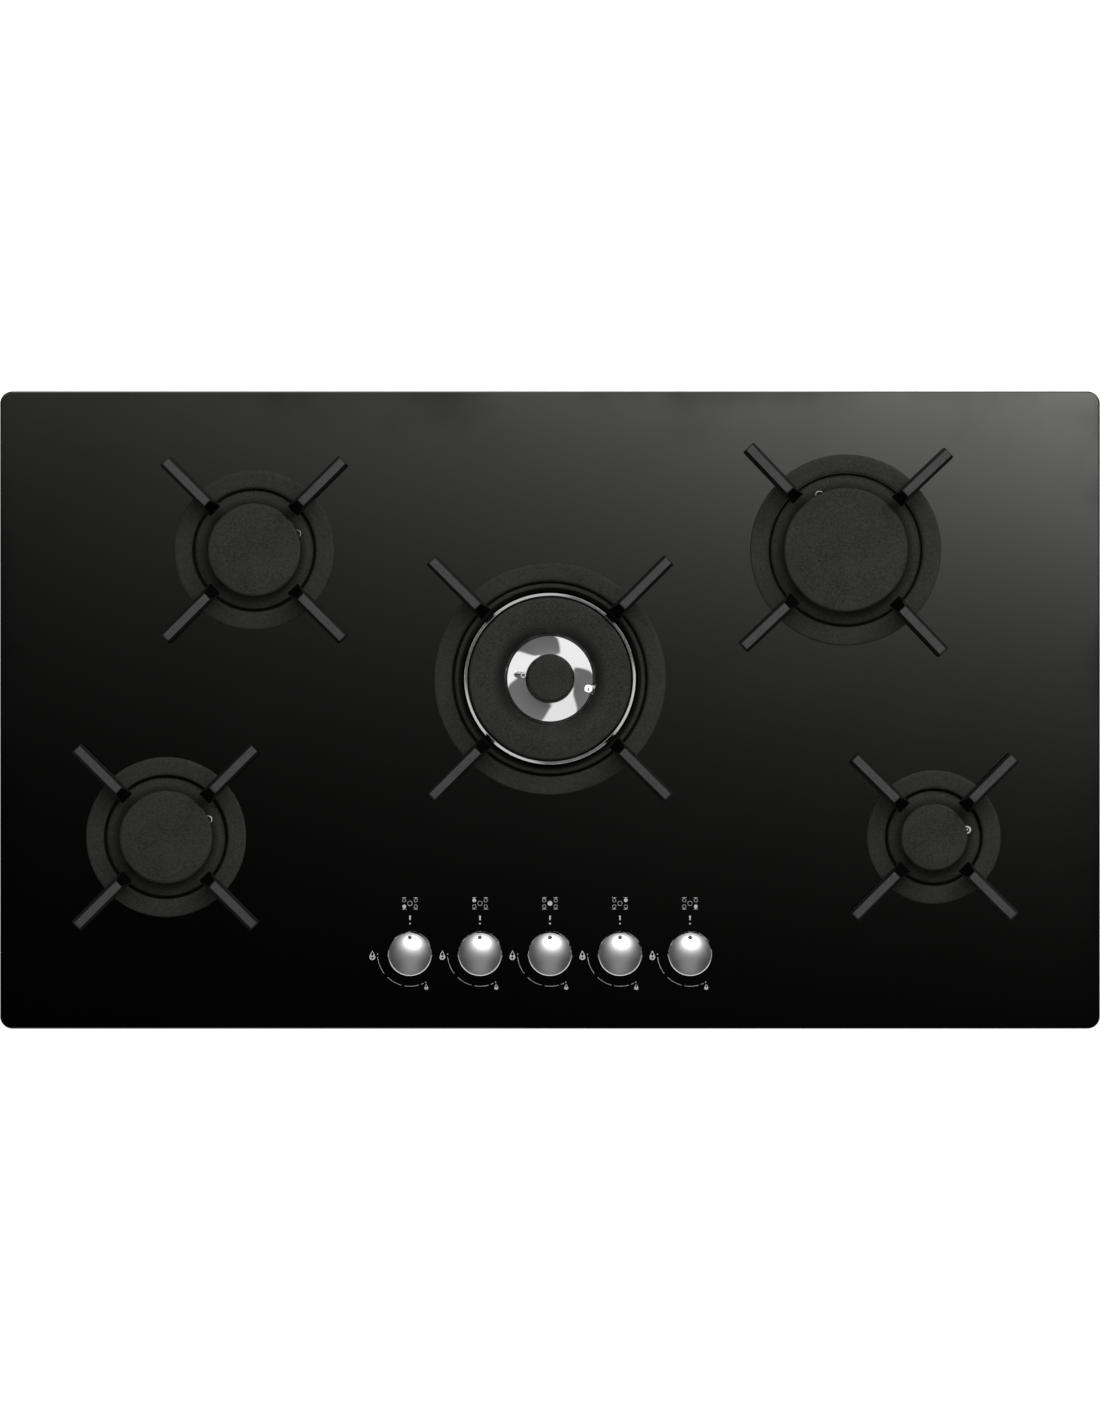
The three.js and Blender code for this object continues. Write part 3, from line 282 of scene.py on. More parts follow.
def piece(name, bm, material, at=(0, 0, 0), crease=32):
    """A smooth-shaded object from a mesh in millimetres, with its origin at the point at."""
    bmesh.ops.remove_doubles(bm, verts=bm.verts, dist=1e-4)
    bmesh.ops.recalc_face_normals(bm, faces=bm.faces)
    bmesh.ops.scale(bm, vec=(MM, MM, MM), verts=bm.verts)
    mesh = bpy.data.meshes.new(name)
    bm.to_mesh(mesh)
    bm.free()
    mesh.materials.append(material)
    thing = added(name, mesh)
    thing.location = Vector(at) * MM
    return creased(thing, crease)


LEVEL_FACE = 0.99999
BROAD_FACE = 25 * MM * MM


def creased(thing, crease=32):
    """Smooth shading up to an angle. Level, broad and many-sided faces stay flat."""
    mesh = thing.data
    mesh.shade_smooth()
    mesh.set_sharp_from_angle(angle=math.radians(crease))
    for face in mesh.polygons:
        if abs(face.normal.z) > LEVEL_FACE or face.area > BROAD_FACE or len(face.vertices) > 4:
            face.use_smooth = False
    return thing


def dress(thing, body, slot, *nodes):
    """The piece moves with a body and stands for nodes. slot is not used."""
    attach(thing, body)
    if nodes:
        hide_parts(*nodes)


def add_strip(bm, ring, following):
    """Faces between two rings with as many points. A ring may be one point repeated."""
    for side in range(len(ring)):
        across = (side + 1) % len(ring)
        corners = [ring[side], ring[across], following[across], following[side]]
        bm.faces.new(list(dict.fromkeys(corners)))


def add_turned(bm, section, sides=SMOOTH, x=0, y=0):
    """A round body about an upright axis, from its closed half section of radii and levels."""
    rings = []
    for radius, level in section:
        if radius < 1e-6:
            rings.append([bm.verts.new((x, y, level))] * sides)
            continue
        rings.append([bm.verts.new((x + px, y + py, level)) for px, py in circle(0, 0, radius, sides)])
    for index, ring in enumerate(rings):
        following = rings[(index + 1) % len(rings)]
        if ring[0] is not ring[1] or following[0] is not following[1]:
            add_strip(bm, ring, following)


def add_cylinder(bm, radius, low, high, sides=32, x=0, y=0):
    add_turned(bm, [(0, low), (radius, low), (radius, high), (0, high)], sides, x, y)


def turned(name, section, material, at, sides=SMOOTH, crease=32):
    bm = bmesh.new()
    add_turned(bm, section, sides)
    return piece(name, bm, material, at, crease)


def lathed(name, points, radii, material, at, body, slot, *nodes, steps=5, sides=SMOOTH):
    """A round piece that needs no cuts, from its section with rounded corners."""
    dress(turned(name, rounded(points, radii, steps), material, at, sides), body, slot, *nodes)


def add_plate(bm, loops, low, high, rounding=0, steps=3):
    """A flat plate between two levels. Each loop is a function that gives an outline moved into the plate."""
    levels = [(rounding * (1 - math.sin(angle)), high - rounding * (1 - math.cos(angle)))
              for angle in (math.pi / 2 * step / steps for step in range(steps + 1))]
    if rounding:
        section = levels + [(inset, low + high - level) for inset, level in reversed(levels)]
    else:
        section = [(0, high), (0, low)]
    tops, feet = [], []
    for loop in loops:
        rings = [[bm.verts.new((px, py, level)) for px, py in loop(inset)] for inset, level in section]
        for upper, lower in zip(rings, rings[1:]):
            add_strip(bm, upper, lower)
        for edges, ring in ((tops, rings[0]), (feet, rings[-1])):
            edges += [bm.edges.get((ring[side], ring[(side + 1) % len(ring)])) for side in range(len(ring))]
    for edges in (tops, feet):
        bmesh.ops.triangle_fill(bm, use_beauty=True, edges=edges)


def fixed(points):
    """An outline that add_plate takes as it is."""
    return lambda inset: points


def add_block(bm, length, depth, height, matrix):
    """A box about the origin, put in place by a matrix."""
    bmesh.ops.create_cube(bm, size=1, matrix=matrix @ Matrix.Diagonal((length, depth, height, 1)))


def combined(target, tool, operation):
    """The target with the tool joined to it or cut out of it. The tool is deleted."""
    modifier = target.modifiers.new("combine", "BOOLEAN")
    modifier.operation = operation
    modifier.solver = "EXACT"
    modifier.object = tool
    bpy.context.view_layer.update()
    solid = target.evaluated_get(bpy.context.evaluated_depsgraph_get())
    mesh = bpy.data.meshes.new_from_object(solid)
    target.modifiers.clear()
    old = target.data
    target.data = mesh
    mesh.name = old.name
    bpy.data.meshes.remove(old)
    bpy.data.objects.remove(tool)


def cut(target, bm, at):
    """Cuts a mesh in millimetres, with its origin at the point at, out of the target."""
    combined(target, piece("tool", bm, target.data.materials[0], at), "DIFFERENCE")


# Node materials

class Nodes:
    """A node tree that is made one call at a time."""

    def __init__(self, tree):
        self.tree = tree

    def node(self, kind, **inputs):
        made = self.tree.nodes.new(kind)
        for key, value in inputs.items():
            self.feed(made.inputs[key.replace("_", " ")], value)
        return made

    def feed(self, socket, value):
        if isinstance(value, bpy.types.NodeSocket):
            self.tree.links.new(value, socket)
        else:
            socket.default_value = value

    def span(self, value, low, high, start=0.0, end=1.0):
        """value moved from the range low to high into the range start to end."""
        return self.node("ShaderNodeMapRange", Value=value, From_Min=low, From_Max=high, To_Min=start,
                         To_Max=end).outputs["Result"]

    def vary(self, noise, least, most):
        """A noise spread over the range least to most."""
        return self.span(noise, 0.3, 0.7, least, most)

    def ramp(self, length, low, high, start=0.0, end=1.0):
        """The same for a length in metres, with low and high in millimetres."""
        return self.span(length, low * MM, high * MM, start, end)

    def sum(self, first, second, operation="ADD"):
        made = self.node("ShaderNodeMath")
        made.operation = operation
        self.feed(made.inputs[0], first)
        self.feed(made.inputs[1], second)
        return made.outputs[0]

    def product(self, first, second):
        return self.sum(first, second, "MULTIPLY")

    def seen(self, strength):
        """strength for camera, mirror and glass rays, and nothing for the rest."""
        path = self.node("ShaderNodeLightPath").outputs
        seen = path["Is Camera Ray"]
        for name in ("Is Glossy Ray", "Is Transmission Ray"):
            seen = self.sum(seen, path[name], "MAXIMUM")
        return self.product(seen, strength)


class Paint(Nodes):
    """A principled material."""

    def __init__(self, name, metallic=0.0, gloss=0.5):
        self.material = bpy.data.materials.new(name)
        self.material.use_nodes = True
        super().__init__(self.material.node_tree)
        self.shader = self.tree.nodes["Principled BSDF"]
        self.shader.inputs["Metallic"].default_value = metallic
        self.shader.inputs["Specular IOR Level"].default_value = gloss
        self.place = self.node("ShaderNodeTexCoord").outputs["Object"]

    def coordinates(self):
        return self.node("ShaderNodeSeparateXYZ", Vector=self.place).outputs

    def noise(self, size, detail=4.0, roughness=0.55, place=None):
        """Noise from 0 to 1 whose spots are about size millimetres wide."""
        return self.node("ShaderNodeTexNoise", Vector=place or self.place, Scale=1 / (size * MM), Detail=detail,
                         Roughness=roughness).outputs["Fac"]

    def cells(self, size, output):
        """Cells that are about size millimetres wide."""
        return self.node("ShaderNodeTexVoronoi", Vector=self.place, Scale=1 / (size * MM)).outputs[output]

    def grain(self, size, patch=25):
        """A fine noise, a broad one, and both of them in one share from 0 to 1."""
        fine = self.noise(size, 5.0, 0.65)
        broad = self.noise(patch, 3.0)
        return fine, broad, self.sum(self.span(fine, 0.36, 0.64, 0, 0.7), self.vary(broad, 0, 0.3))

    def mix(self, share, first, second):
        made = self.node("ShaderNodeMix")
        made.data_type = "RGBA"
        self.feed(made.inputs["Factor"], share)
        self.feed(made.inputs[6], first)
        self.feed(made.inputs[7], second)
        return made.outputs[2]

    def vector(self, operation, first, second=(0, 0, 0)):
        made = self.node("ShaderNodeVectorMath", Vector=first)
        made.operation = operation
        made.inputs[1].default_value = second
        return made.outputs["Value" if operation == "LENGTH" else "Vector"]

    def axis_distance(self, x=0.0, y=0.0):
        """Distance from an upright axis, the piece's own unless x and y are given, in metres."""
        flat = self.vector("MULTIPLY", self.place, (1, 1, 0))
        return self.vector("LENGTH", self.vector("SUBTRACT", flat, (x, y, 0)))

    def finish(self, colour, rough, height=None, depth=0.0):
        """The colour, the roughness, and bumps depth millimetres deep for heights from 0 to 1."""
        self.feed(self.shader.inputs["Base Color"], colour)
        self.feed(self.shader.inputs["Roughness"], rough)
        if height:
            bump = self.node("ShaderNodeBump", Height=height, Distance=depth * MM)
            self.feed(self.shader.inputs["Normal"], bump.outputs["Normal"])
        return self.material

    def show(self, shader):
        """Shows a shader node instead of the principled one."""
        self.feed(self.tree.nodes["Material Output"].inputs["Surface"], shader.outputs[0])
        return self.material


def grey(value):
    return (value, value, value, 1)


def warm(value):
    """The faintly warm black of the enamels."""
    return (value, value, value * 0.89, 1)


def grainy(name, dark, light, rough, size, depth, metallic=0.0, patch=25, gloss=0.5):
    """A matt surface with a fine grain, soft patches and uneven roughness. rough is its least and most."""
    paint = Paint(name, metallic, gloss)
    fine, broad, grain = paint.grain(size, patch)
    return paint.finish(paint.mix(grain, dark, light), paint.vary(broad, *rough), fine, depth)


def black_glass():
    """Polished glass, black right through, with faint smears."""
    paint = Paint("black_glass")
    smear = paint.noise(90, 3.0, 0.6)
    specks = paint.span(paint.noise(2.5, 2.0, 0.5), 0.72, 0.8, 0.0, 0.05)
    rough = paint.sum(paint.span(smear, 0.35, 0.7, 0.012, 0.045), specks)
    return paint.finish(paint.mix(smear, grey(0.0003), (0.0008, 0.0007, 0.0007, 1)), rough)


def cast_iron(name, dark, light, gloss):
    """Matt enamel on cast iron: pebbly, darker on the fingers above the ring (painted shade) and paler on their
    tops (painted highlight).
    """
    paint = Paint(name, gloss=gloss)
    pebble = paint.noise(1.5, 4.0, 0.62)
    patch = paint.noise(28, 3.0)
    grain = paint.sum(paint.span(pebble, 0.32, 0.68, 0, 0.75), paint.vary(patch, 0, 0.25))
    level = paint.coordinates()["Z"]
    # Painted shade: the fingers above the ring get a darker colour
    finger = paint.ramp(level, RING_HEIGHT + 0.5, RING_HEIGHT + 6)
    # Painted highlight: the tops of the fingers are paler and a little smoother
    top = paint.ramp(level, PAN_HEIGHT - 0.9, PAN_HEIGHT - 0.3)
    painted_shade_colour = paint.mix(grain, warm(dark / 6), warm(light / 5))
    plain = paint.mix(finger, paint.mix(grain, warm(dark), warm(light)), painted_shade_colour)
    colour = paint.mix(top, plain, paint.mix(grain, grey(0.043), grey(0.082)))
    rough = paint.sum(paint.vary(patch, 0.52, 0.66), paint.product(top, -0.12))
    return paint.finish(colour, rough, pebble, 0.16)


def black_enamel(name, rough=(0.50, 0.62), depth=0.08, darkening=None, dark_colours=None):
    """Matt black enamel with a fine orange peel. An optional mask darkens it towards two darker colours:
    painted shade on the burner flanges, and a darkening along the wok's bowl.
    """
    paint = Paint(name, gloss=0.12)
    fine, broad, grain = paint.grain(1.5)
    colour = paint.mix(grain, warm(0.009), warm(0.041))
    if darkening:
        colour = paint.mix(darkening(paint), colour, paint.mix(grain, *dark_colours))
    return paint.finish(colour, paint.vary(broad, *rough), fine, depth)


def darkening_along_bowl(paint):
    """Darker along the bowl, most of all at its left and right, and more towards the back."""
    radius = paint.axis_distance()
    place = paint.coordinates()
    across = paint.sum(paint.sum(place["X"], radius, "DIVIDE"), 0.0, "ABSOLUTE")
    behind = paint.span(paint.sum(place["Y"], radius, "DIVIDE"), 0, 1, 0, 0.5)
    near = paint.ramp(radius, WOK_CAP_INNER + 2, WOK_CAP_INNER + 10, 1, 0)
    return paint.product(near, paint.sum(across, behind))


def burner_casting(burner):
    """Coated casting, sandy to the touch, darker next to the cap: painted shade."""
    def darkening(paint):
        edge = CENTRE[burner].half
        return paint.ramp(paint.axis_distance(), edge + 0.9, edge + CAP_SHADE_WIDTH, 1, 0)

    return black_enamel("burner_casting_" + burner, (0.55, 0.7), 0.09, darkening, (warm(0.002), warm(0.009)))


def turned_metal(name, rough, lines):
    """Metal with turning lines about its own axis: its paint, radius, patches, lines and roughness."""
    paint = Paint(name, 1.0)
    radius = paint.axis_distance()
    ring = paint.node("ShaderNodeCombineXYZ", X=radius).outputs["Vector"]
    turning = paint.noise(lines, 3.0, 0.7, ring)
    patch = paint.noise(12, 2.0)
    uneven = paint.sum(paint.vary(patch, *rough), paint.vary(turning, 0, 0.02))
    return paint, radius, patch, turning, uneven


def polished(name, base, rough, lines, coated=None):
    """Polished or satin metal. coated is a ring between two radii, with a black coat."""
    paint, radius, patch, turning, rough = turned_metal(name, rough, lines)
    metal = paint.mix(patch, grey(base * 0.94), grey(base))
    if coated:
        first, last = coated
        coat = paint.product(paint.ramp(radius, first, first + 0.1), paint.ramp(radius, last - 0.1, last, 1, 0))
        metal = paint.mix(coat, metal, paint.mix(paint.noise(1.5), grey(0.010), grey(0.03)))
        rough = paint.sum(rough, paint.product(coat, 0.5))
        paint.feed(paint.shader.inputs["Metallic"], paint.sum(1.0, coat, "SUBTRACT"))
        paint.shader.inputs["Specular IOR Level"].default_value = 0.15
    return paint.finish(metal, rough, turning, 0.0025)


def knob_metal():
    """Satin metal, turned, with a bright cut edge round the domed face."""
    paint, radius, patch, turning, rough = turned_metal("knob_satin_metal", (0.40, 0.44), 0.25)
    edge = KNOB["wok"].half - KNOB_EDGE
    bright = paint.ramp(radius, edge - 0.1, edge)
    colour = paint.mix(bright, paint.mix(patch, grey(0.235), grey(0.25)), grey(0.55))
    return paint.finish(colour, paint.sum(rough, paint.product(bright, -0.36)), turning, 0.0025)


def probe_metal():
    """Oxidised steel tube with a bright tip."""
    paint = Paint("probe_steel", 1.0)
    fine = paint.noise(0.5, 4.0, 0.6)
    tip = paint.ramp(paint.coordinates()["Z"], THERMOCOUPLE.height - 0.9, THERMOCOUPLE.height - 0.6)
    colour = paint.mix(tip, paint.mix(fine, grey(0.06), grey(0.14)), grey(0.7))
    return paint.finish(colour, paint.vary(fine, 0.3, 0.42), fine, 0.01)


def ceramic(burner):
    """White glaze, near-black round the pin: painted shade."""
    radius, shade_shift = PIN_SHADE[burner]
    place, box = CENTRE[burner], IGNITER[burner]
    middle = Vector((place.x - box.x, place.y - box.y)).normalized() * shade_shift * MM
    paint = Paint("igniter_ceramic_" + burner)
    fine = paint.noise(0.8, 4.0, 0.6)
    glaze = paint.mix(paint.vary(fine, 0, 1), (0.90, 0.89, 0.87, 1), (0.96, 0.95, 0.94, 1))
    unshaded = paint.ramp(paint.axis_distance(*middle), radius - 0.1, radius + 0.1)
    colour = paint.mix(unshaded, paint.mix(fine, grey(0.004), grey(0.014)), glaze)
    return paint.finish(colour, paint.vary(fine, 0.22, 0.4), fine, 0.01)


def foam():
    """Closed-cell foam: small open cells on its cut face."""
    paint = Paint("foam_seal")
    cells = paint.cells(0.9, "Distance")
    colour = paint.mix(paint.span(cells, 0.1, 0.6), grey(0.016), grey(0.04))
    return paint.finish(colour, paint.span(cells, 0, 0.6, 0.8, 0.95), cells, 0.25)


def galvanised():
    """Zinc-coated sheet with its spangle."""
    paint = Paint("galvanised_sheet", 0.9)
    shade = paint.node("ShaderNodeRGBToBW", Color=paint.cells(9, "Color")).outputs["Val"]
    scuff = paint.noise(40, 4.0)
    both = paint.sum(paint.span(shade, 0, 1, 0, 0.55), paint.vary(scuff, 0, 0.45))
    rough = paint.sum(paint.span(shade, 0, 1, 0.3, 0.44), paint.vary(scuff, 0, 0.1))
    return paint.finish(paint.mix(both, (0.33, 0.34, 0.35, 1), (0.52, 0.53, 0.54, 1)), rough,
                        paint.noise(1.2, 3.0), 0.012)


GLASS_PAINT = black_glass()
INK = grainy("printed_ink", grey(0.50), grey(0.68), (0.42, 0.6), 0.5, 0.01, patch=4)
IRON = cast_iron("cast_iron", 0.012, 0.042, 0.12)
# Painted shade: near-black iron for the inner ends of the fingers
NOSE_SHADE_IRON = cast_iron("painted_shade_cast_iron", 0.001, 0.004, 0.02)
ENAMEL = black_enamel("cap_enamel")
WOK_ENAMEL = black_enamel("wok_cap_enamel", darkening=darkening_along_bowl, dark_colours=(warm(0.001), warm(0.005)))
CASTING = {name: burner_casting(name) for name in BURNERS}
ALUMINIUM = grainy("spreader_aluminium", (0.26, 0.255, 0.25, 1), grey(0.42), (0.4, 0.55), 0.6, 0.03, 0.9)
CHROME = polished("polished_crown", 0.86, (0.02, 0.05), 0.35)
CROWN = polished("crown_with_polished_rim", 0.55, (0.16, 0.24), 0.35, (WOK_CAP_INNER + 0.1, WOK_RIM_INNER))
SATIN = knob_metal()
PROBE = probe_metal()
STEEL = polished("turned_steel", 0.55, (0.2, 0.3), 0.3)
CERAMIC = {name: ceramic(name) for name in BURNERS}
# Painted shade: near-black for the pins of the igniters that lie in their caps' shade
SHADED_PIN = grainy("painted_shade_pin", grey(0.004), grey(0.012), (0.5, 0.6), 0.5, 0.01, gloss=0.1)
FOAM = foam()
SHEET = galvanised()
BRASS = grainy("turned_brass", (0.42, 0.30, 0.10, 1), (0.62, 0.47, 0.20, 1), (0.25, 0.4), 0.5, 0.01, 1.0)
CAST_TAP = grainy("tap_casting", grey(0.42), grey(0.58), (0.4, 0.55), 0.8, 0.04, 0.9)
DRAWN_PIPE = grainy("drawn_pipe", grey(0.55), grey(0.68), (0.28, 0.42), 0.5, 0.008, 1.0)
PLASTIC = grainy("moulded_plastic", grey(0.012), grey(0.022), (0.42, 0.55), 0.6, 0.03)
# Painted shade: near-black for the ring that stands in for the shade between each flange and its pan support
GAP_SHADE_BLACK = grainy("gap_shade_black", grey(0.002), grey(0.005), (0.7, 0.8), 0.5, 0.02, gloss=0.1)
RUBBER = grainy("black_rubber", grey(0.010), grey(0.020), (0.6, 0.75), 0.5, 0.02)
DOT_PAINT = grainy("knob_dot_paint", grey(0.10), grey(0.16), (0.4, 0.5), 0.3, 0.01)


# Glass and its printed marks

def glass_plate():
    def edge(inset):
        return rounded_box(GLASS.half - inset, GLASS.depth - inset, GLASS_CORNER - inset, 16)

    def hole(x, y, radius, sides):
        return lambda inset: circle(x, y, radius + inset, sides)

    loops = [edge]
    for name in BURNERS:
        radius = WOK_MOUTH if name == "wok" else FLANGE[name] - BEARING
        loops.append(hole(CENTRE[name].x, CENTRE[name].y, radius, 96))
        loops.append(hole(KNOB[name].x, KNOB_Y, SPINDLE_HOLE, 32))
    bm = bmesh.new()
    add_plate(bm, loops, GLASS.low, GLASS.high, GLASS_ROUNDING)
    dress(piece("glass_plate", bm, GLASS_PAINT), "root", "black_glass", "glass_top")


# Places of the marks are from the middle of their knob
INK_SUNK = 0.1
INK_PROUD = 0.04
ICON_Y = 40.3
ICON_STEP_X = 4.6
ICON_STEP_Y = 2.45
ICON_RING = 1.5
ICON_MIDDLE_RING = 1.95
ICON_LINE = 0.27
ICON_BAR_RISE = 2.15
ICON_BAR = 0.28
ICON_BAR_HALF = 1.75
ICON_NECK = (0.6, 0.3)
# Each burner's ring, in steps right of and above the middle one
ICON_PLACES = (("left_front", -1, -1), ("left_rear", -1, 1), ("wok", 0, 0), ("right_rear", 1, 1),
               ("right_front", 1, -1))
OFF_BAR = [(-0.5, 26.9), (0.5, 26.9), (0.7, 30.5), (-0.7, 30.5)]
OFF_DOT = (0, 24.1, 0.65)
ARC_RADIUS = 26
ARC_WIDTH = 0.45
ARC_STROKES = ((185.5, 217.6), (226.4, 254.9), (260.3, 285.6), (289.5, 295))
ARC_DOTS = ((180.8, 0.42), (298.8, 0.5))
# Flames and the holes in them: middle, width, height and how sharp the point is
LARGE_FLAME = ((-30.1, -1.1, 4.6, 7.8, 1.6), (-30.1, -0.1, 1.9, 3.1, 1.2))
LARGE_FLAME_DOT = (-30.1, -3.1, 0.8)
SMALL_FLAME = ((13.0, -26.4, 3.2, 4.8, 1.6), (13.0, -25.9, 1.2, 1.9, 1.0))


def add_ink(bm, outline, *holes):
    add_plate(bm, [fixed(points) for points in (outline, *holes)], -INK_SUNK, INK_PROUD)


def add_stroke(bm, start, end):
    """A stroke of the arc about the knob, with round ends."""
    steps = max(4, round(abs(end - start) / 3))
    half = ARC_WIDTH / 2
    angles = [start + (end - start) * step / steps for step in range(steps + 1)]
    outer = [polar(ARC_RADIUS + half, angle) for angle in angles]
    inner = [polar(ARC_RADIUS - half, angle) for angle in reversed(angles)]
    ends = (0, steps, steps + 1, 2 * steps + 1)
    radii = [half * 0.9 if index in ends else 0 for index in range(2 * steps + 2)]
    add_ink(bm, rounded(outer + inner, radii, 3))


def drop(x, y, width, height, sharp, sides=40):
    """A drop whose point is on top, about the middle of its height."""
    points = []
    widest = max(math.sin(t) * math.sin(t / 2) ** sharp for t in (math.pi * k / 200 for k in range(201)))
    for side in range(sides):
        turn = 2 * math.pi * side / sides
        reach = math.sin(turn) * abs(math.sin(turn / 2)) ** sharp / widest
        points.append((x + width / 2 * reach, y + height / 2 * math.cos(turn)))
    return points


def burner_icon(bm, burner):
    """The five burners as small rings, the knob's own one filled in, each but the wok's on its short bar."""
    wide, narrow = ICON_NECK
    for name, across, side in ICON_PLACES:
        x, y = ICON_STEP_X * across, ICON_Y + ICON_STEP_Y * side
        radius = ICON_MIDDLE_RING if name == "wok" else ICON_RING
        holes = [] if name == burner else [circle(x, y, radius - ICON_LINE, 24)]
        add_ink(bm, circle(x, y, radius, 24), *holes)
        if name == "wok":
            continue
        far = y + side * (ICON_BAR_RISE + ICON_BAR / 2)
        near = far - side * ICON_BAR
        foot = y + side * (ICON_RING - 0.15)
        right = [(ICON_BAR_HALF, far), (ICON_BAR_HALF, near), (wide, near), (narrow, foot)]
        shape = [(x + px, py) for px, py in right] + [(x - px, py) for px, py in reversed(right)]
        add_ink(bm, shape)


def printed_marks(burner):
    """The marks round one knob: its burner, the off mark, and the arc from large to small flame."""
    bm = bmesh.new()
    burner_icon(bm, burner)
    add_ink(bm, rounded(OFF_BAR, 0.4))
    add_ink(bm, circle(*OFF_DOT, 24))
    for stroke in ARC_STROKES:
        add_stroke(bm, *stroke)
    for angle, radius in ARC_DOTS:
        add_ink(bm, circle(*polar(ARC_RADIUS, angle), radius, 20))
    add_ink(bm, *(drop(*shape) for shape in LARGE_FLAME), circle(*LARGE_FLAME_DOT, 16))
    add_ink(bm, *(drop(*shape) for shape in SMALL_FLAME))
    marks = piece("printed_marks_" + burner, bm, INK, (KNOB[burner].x, KNOB_Y, GLASS_TOP))
    dress(marks, "root", "igniter_ceramic")


# Tray

def tray_loop(offset, level):
    points = rounded_box(TRAY.half - TRAY_LIP + offset, TRAY.depth - TRAY_LIP + offset, TRAY_CORNER + offset)
    return [(x, y, level) for x, y in points]


def foot_arc(radius):
    """The rounded foot of the tray's wall, from the wall to the floor, as offsets and levels."""
    angles = [math.pi / 2 * step / 5 for step in range(6)]
    return [(radius * math.cos(angle) - TRAY_FOOT_ROUNDING, TRAY_FOOT_ROUNDING - radius * math.sin(angle))
            for angle in angles]


def tray_pan():
    """Pressed sheet: a lip under the glass, a bead round the walls and a rounded foot."""
    top, under = TRAY.high, TRAY.high - TRAY_SHEET
    low, high = BEAD_LEVEL - BEAD_HALF, BEAD_LEVEL + BEAD_HALF
    outside = [
        (TRAY_LIP, top), (TRAY_LIP, under), (0.6, under), (0, under - 0.6), (0, high), (-0.4, high - 0.6),
        (-BEAD_DEPTH, BEAD_LEVEL + 0.7), (-BEAD_DEPTH, BEAD_LEVEL - 0.7), (-0.4, low + 0.6), (0, low),
        *foot_arc(TRAY_FOOT_ROUNDING),
    ]
    inside = [
        *reversed(foot_arc(TRAY_FOOT_ROUNDING - TRAY_SHEET)), (-TRAY_SHEET, low - 0.4),
        (-TRAY_SHEET - BEAD_DEPTH, BEAD_LEVEL - 1), (-TRAY_SHEET - BEAD_DEPTH, BEAD_LEVEL + 1),
        (-TRAY_SHEET, high + 0.4), (-TRAY_SHEET, top - 0.5), (-0.6, top),
    ]
    bm = bmesh.new()
    rings = [[bm.verts.new(point) for point in tray_loop(*place)] for place in outside + inside]
    for index, ring in enumerate(rings):
        following = rings[(index + 1) % len(rings)]
        if index == len(outside) - 1:
            bm.faces.new(ring)
            bm.faces.new(following)
        else:
            add_strip(bm, ring, following)
    pan = piece("tray_pan", bm, SHEET)
    tool = bmesh.new()
    for side in (-1, 1):
        x = side * (KNOB["right_rear"].x - KNOB["wok"].x)
        for row in range(VENT_COUNT):
            y = KNOB_Y + (row + 1) * VENT_PITCH
            slot = [(px + x, py + y) for px, py in rounded_box(VENT_LENGTH / 2, VENT_WIDTH / 2, 1.7, 6)]
            add_plate(tool, [fixed(slot)], -1, TRAY_SHEET + 1)
    add_cylinder(tool, INLET_OPENING, -1, TRAY_SHEET + 1, FINE, FEED_X, INLET_Y)
    cut(pan, tool, (0, 0, 0))
    gland = bmesh.new()
    add_cylinder(gland, GLAND_OPENING, -5, 5, FINE)
    bmesh.ops.rotate(gland, matrix=Matrix.Rotation(math.pi / 2, 3, "X"), verts=gland.verts)
    cut(pan, gland, (MODULE_X, TRAY.depth - TRAY_LIP, GLAND_Z))
    dress(creased(pan, 40), "root", "tray_steel", "bottom_tray")


def screw(name, at, turn):
    """A pan-head screw with a cross recess, its head pointing along +Z before the turn."""
    bm = bmesh.new()
    add_turned(bm, rounded([(0, 0), (SCREW_HEAD, 0), (SCREW_HEAD, 0.9), (2.2, 2.1), (0, SCREW_HEAD_HEIGHT)],
                           [0, 0.1, 0.7, 0.8, 0]), 32)
    add_turned(bm, [(0, -6), (1.4, -6), (1.9, -5), (1.9, 0.2), (0, 0.2)], 20)
    thing = piece(name, bm, STEEL)
    tool = bmesh.new()
    for angle in (0, math.pi / 2):
        place = Matrix.Translation((0, 0, SCREW_HEAD_HEIGHT)) @ Matrix.Rotation(angle, 4, "Z")
        add_block(tool, SCREW_HEAD + 0.2, SCREW_CROSS, SCREW_HEAD_HEIGHT, place)
    cut(thing, tool, (0, 0, 0))
    creased(thing)
    thing.matrix_world = Matrix.Translation(Vector(at) * MM) @ turn
    dress(thing, "root", "tap_steel")


def screws():
    """Two screws in each bracket."""
    for side, word in ((-1, "left"), (1, "right")):
        level = Span("fixing_bracket_" + word).low + SCREW_RISE
        turn = Matrix.Rotation(side * math.pi / 2, 4, "Y")
        for y, place in ((-SCREW_SPREAD, "front"), (SCREW_SPREAD, "rear")):
            at = (side * (TRAY.half - TRAY_LIP + BRACKET_FACE), y, level)
            screw("bracket_screw_%s_%s" % (word, place), at, turn)


def seal_strip():
    """The foam strip under the rim of the glass, a little bulged at its sides."""
    box = Span("worktop_seal")

    def outer(inset):
        return rounded_box(box.half - inset, box.depth - inset, GLASS_CORNER - inset)

    def inner(inset):
        wide, deep = box.half - SEAL_WIDTH, box.depth - SEAL_WIDTH
        return rounded_box(wide + inset, deep + inset, GLASS_CORNER - 4 + inset)

    bm = bmesh.new()
    add_plate(bm, [outer, inner], box.low, box.high, 0.6)
    dress(piece("seal_strip", bm, FOAM), "root", "foam_seal", "worktop_seal")


# Burners with one ring of flames. Levels are above the glass.

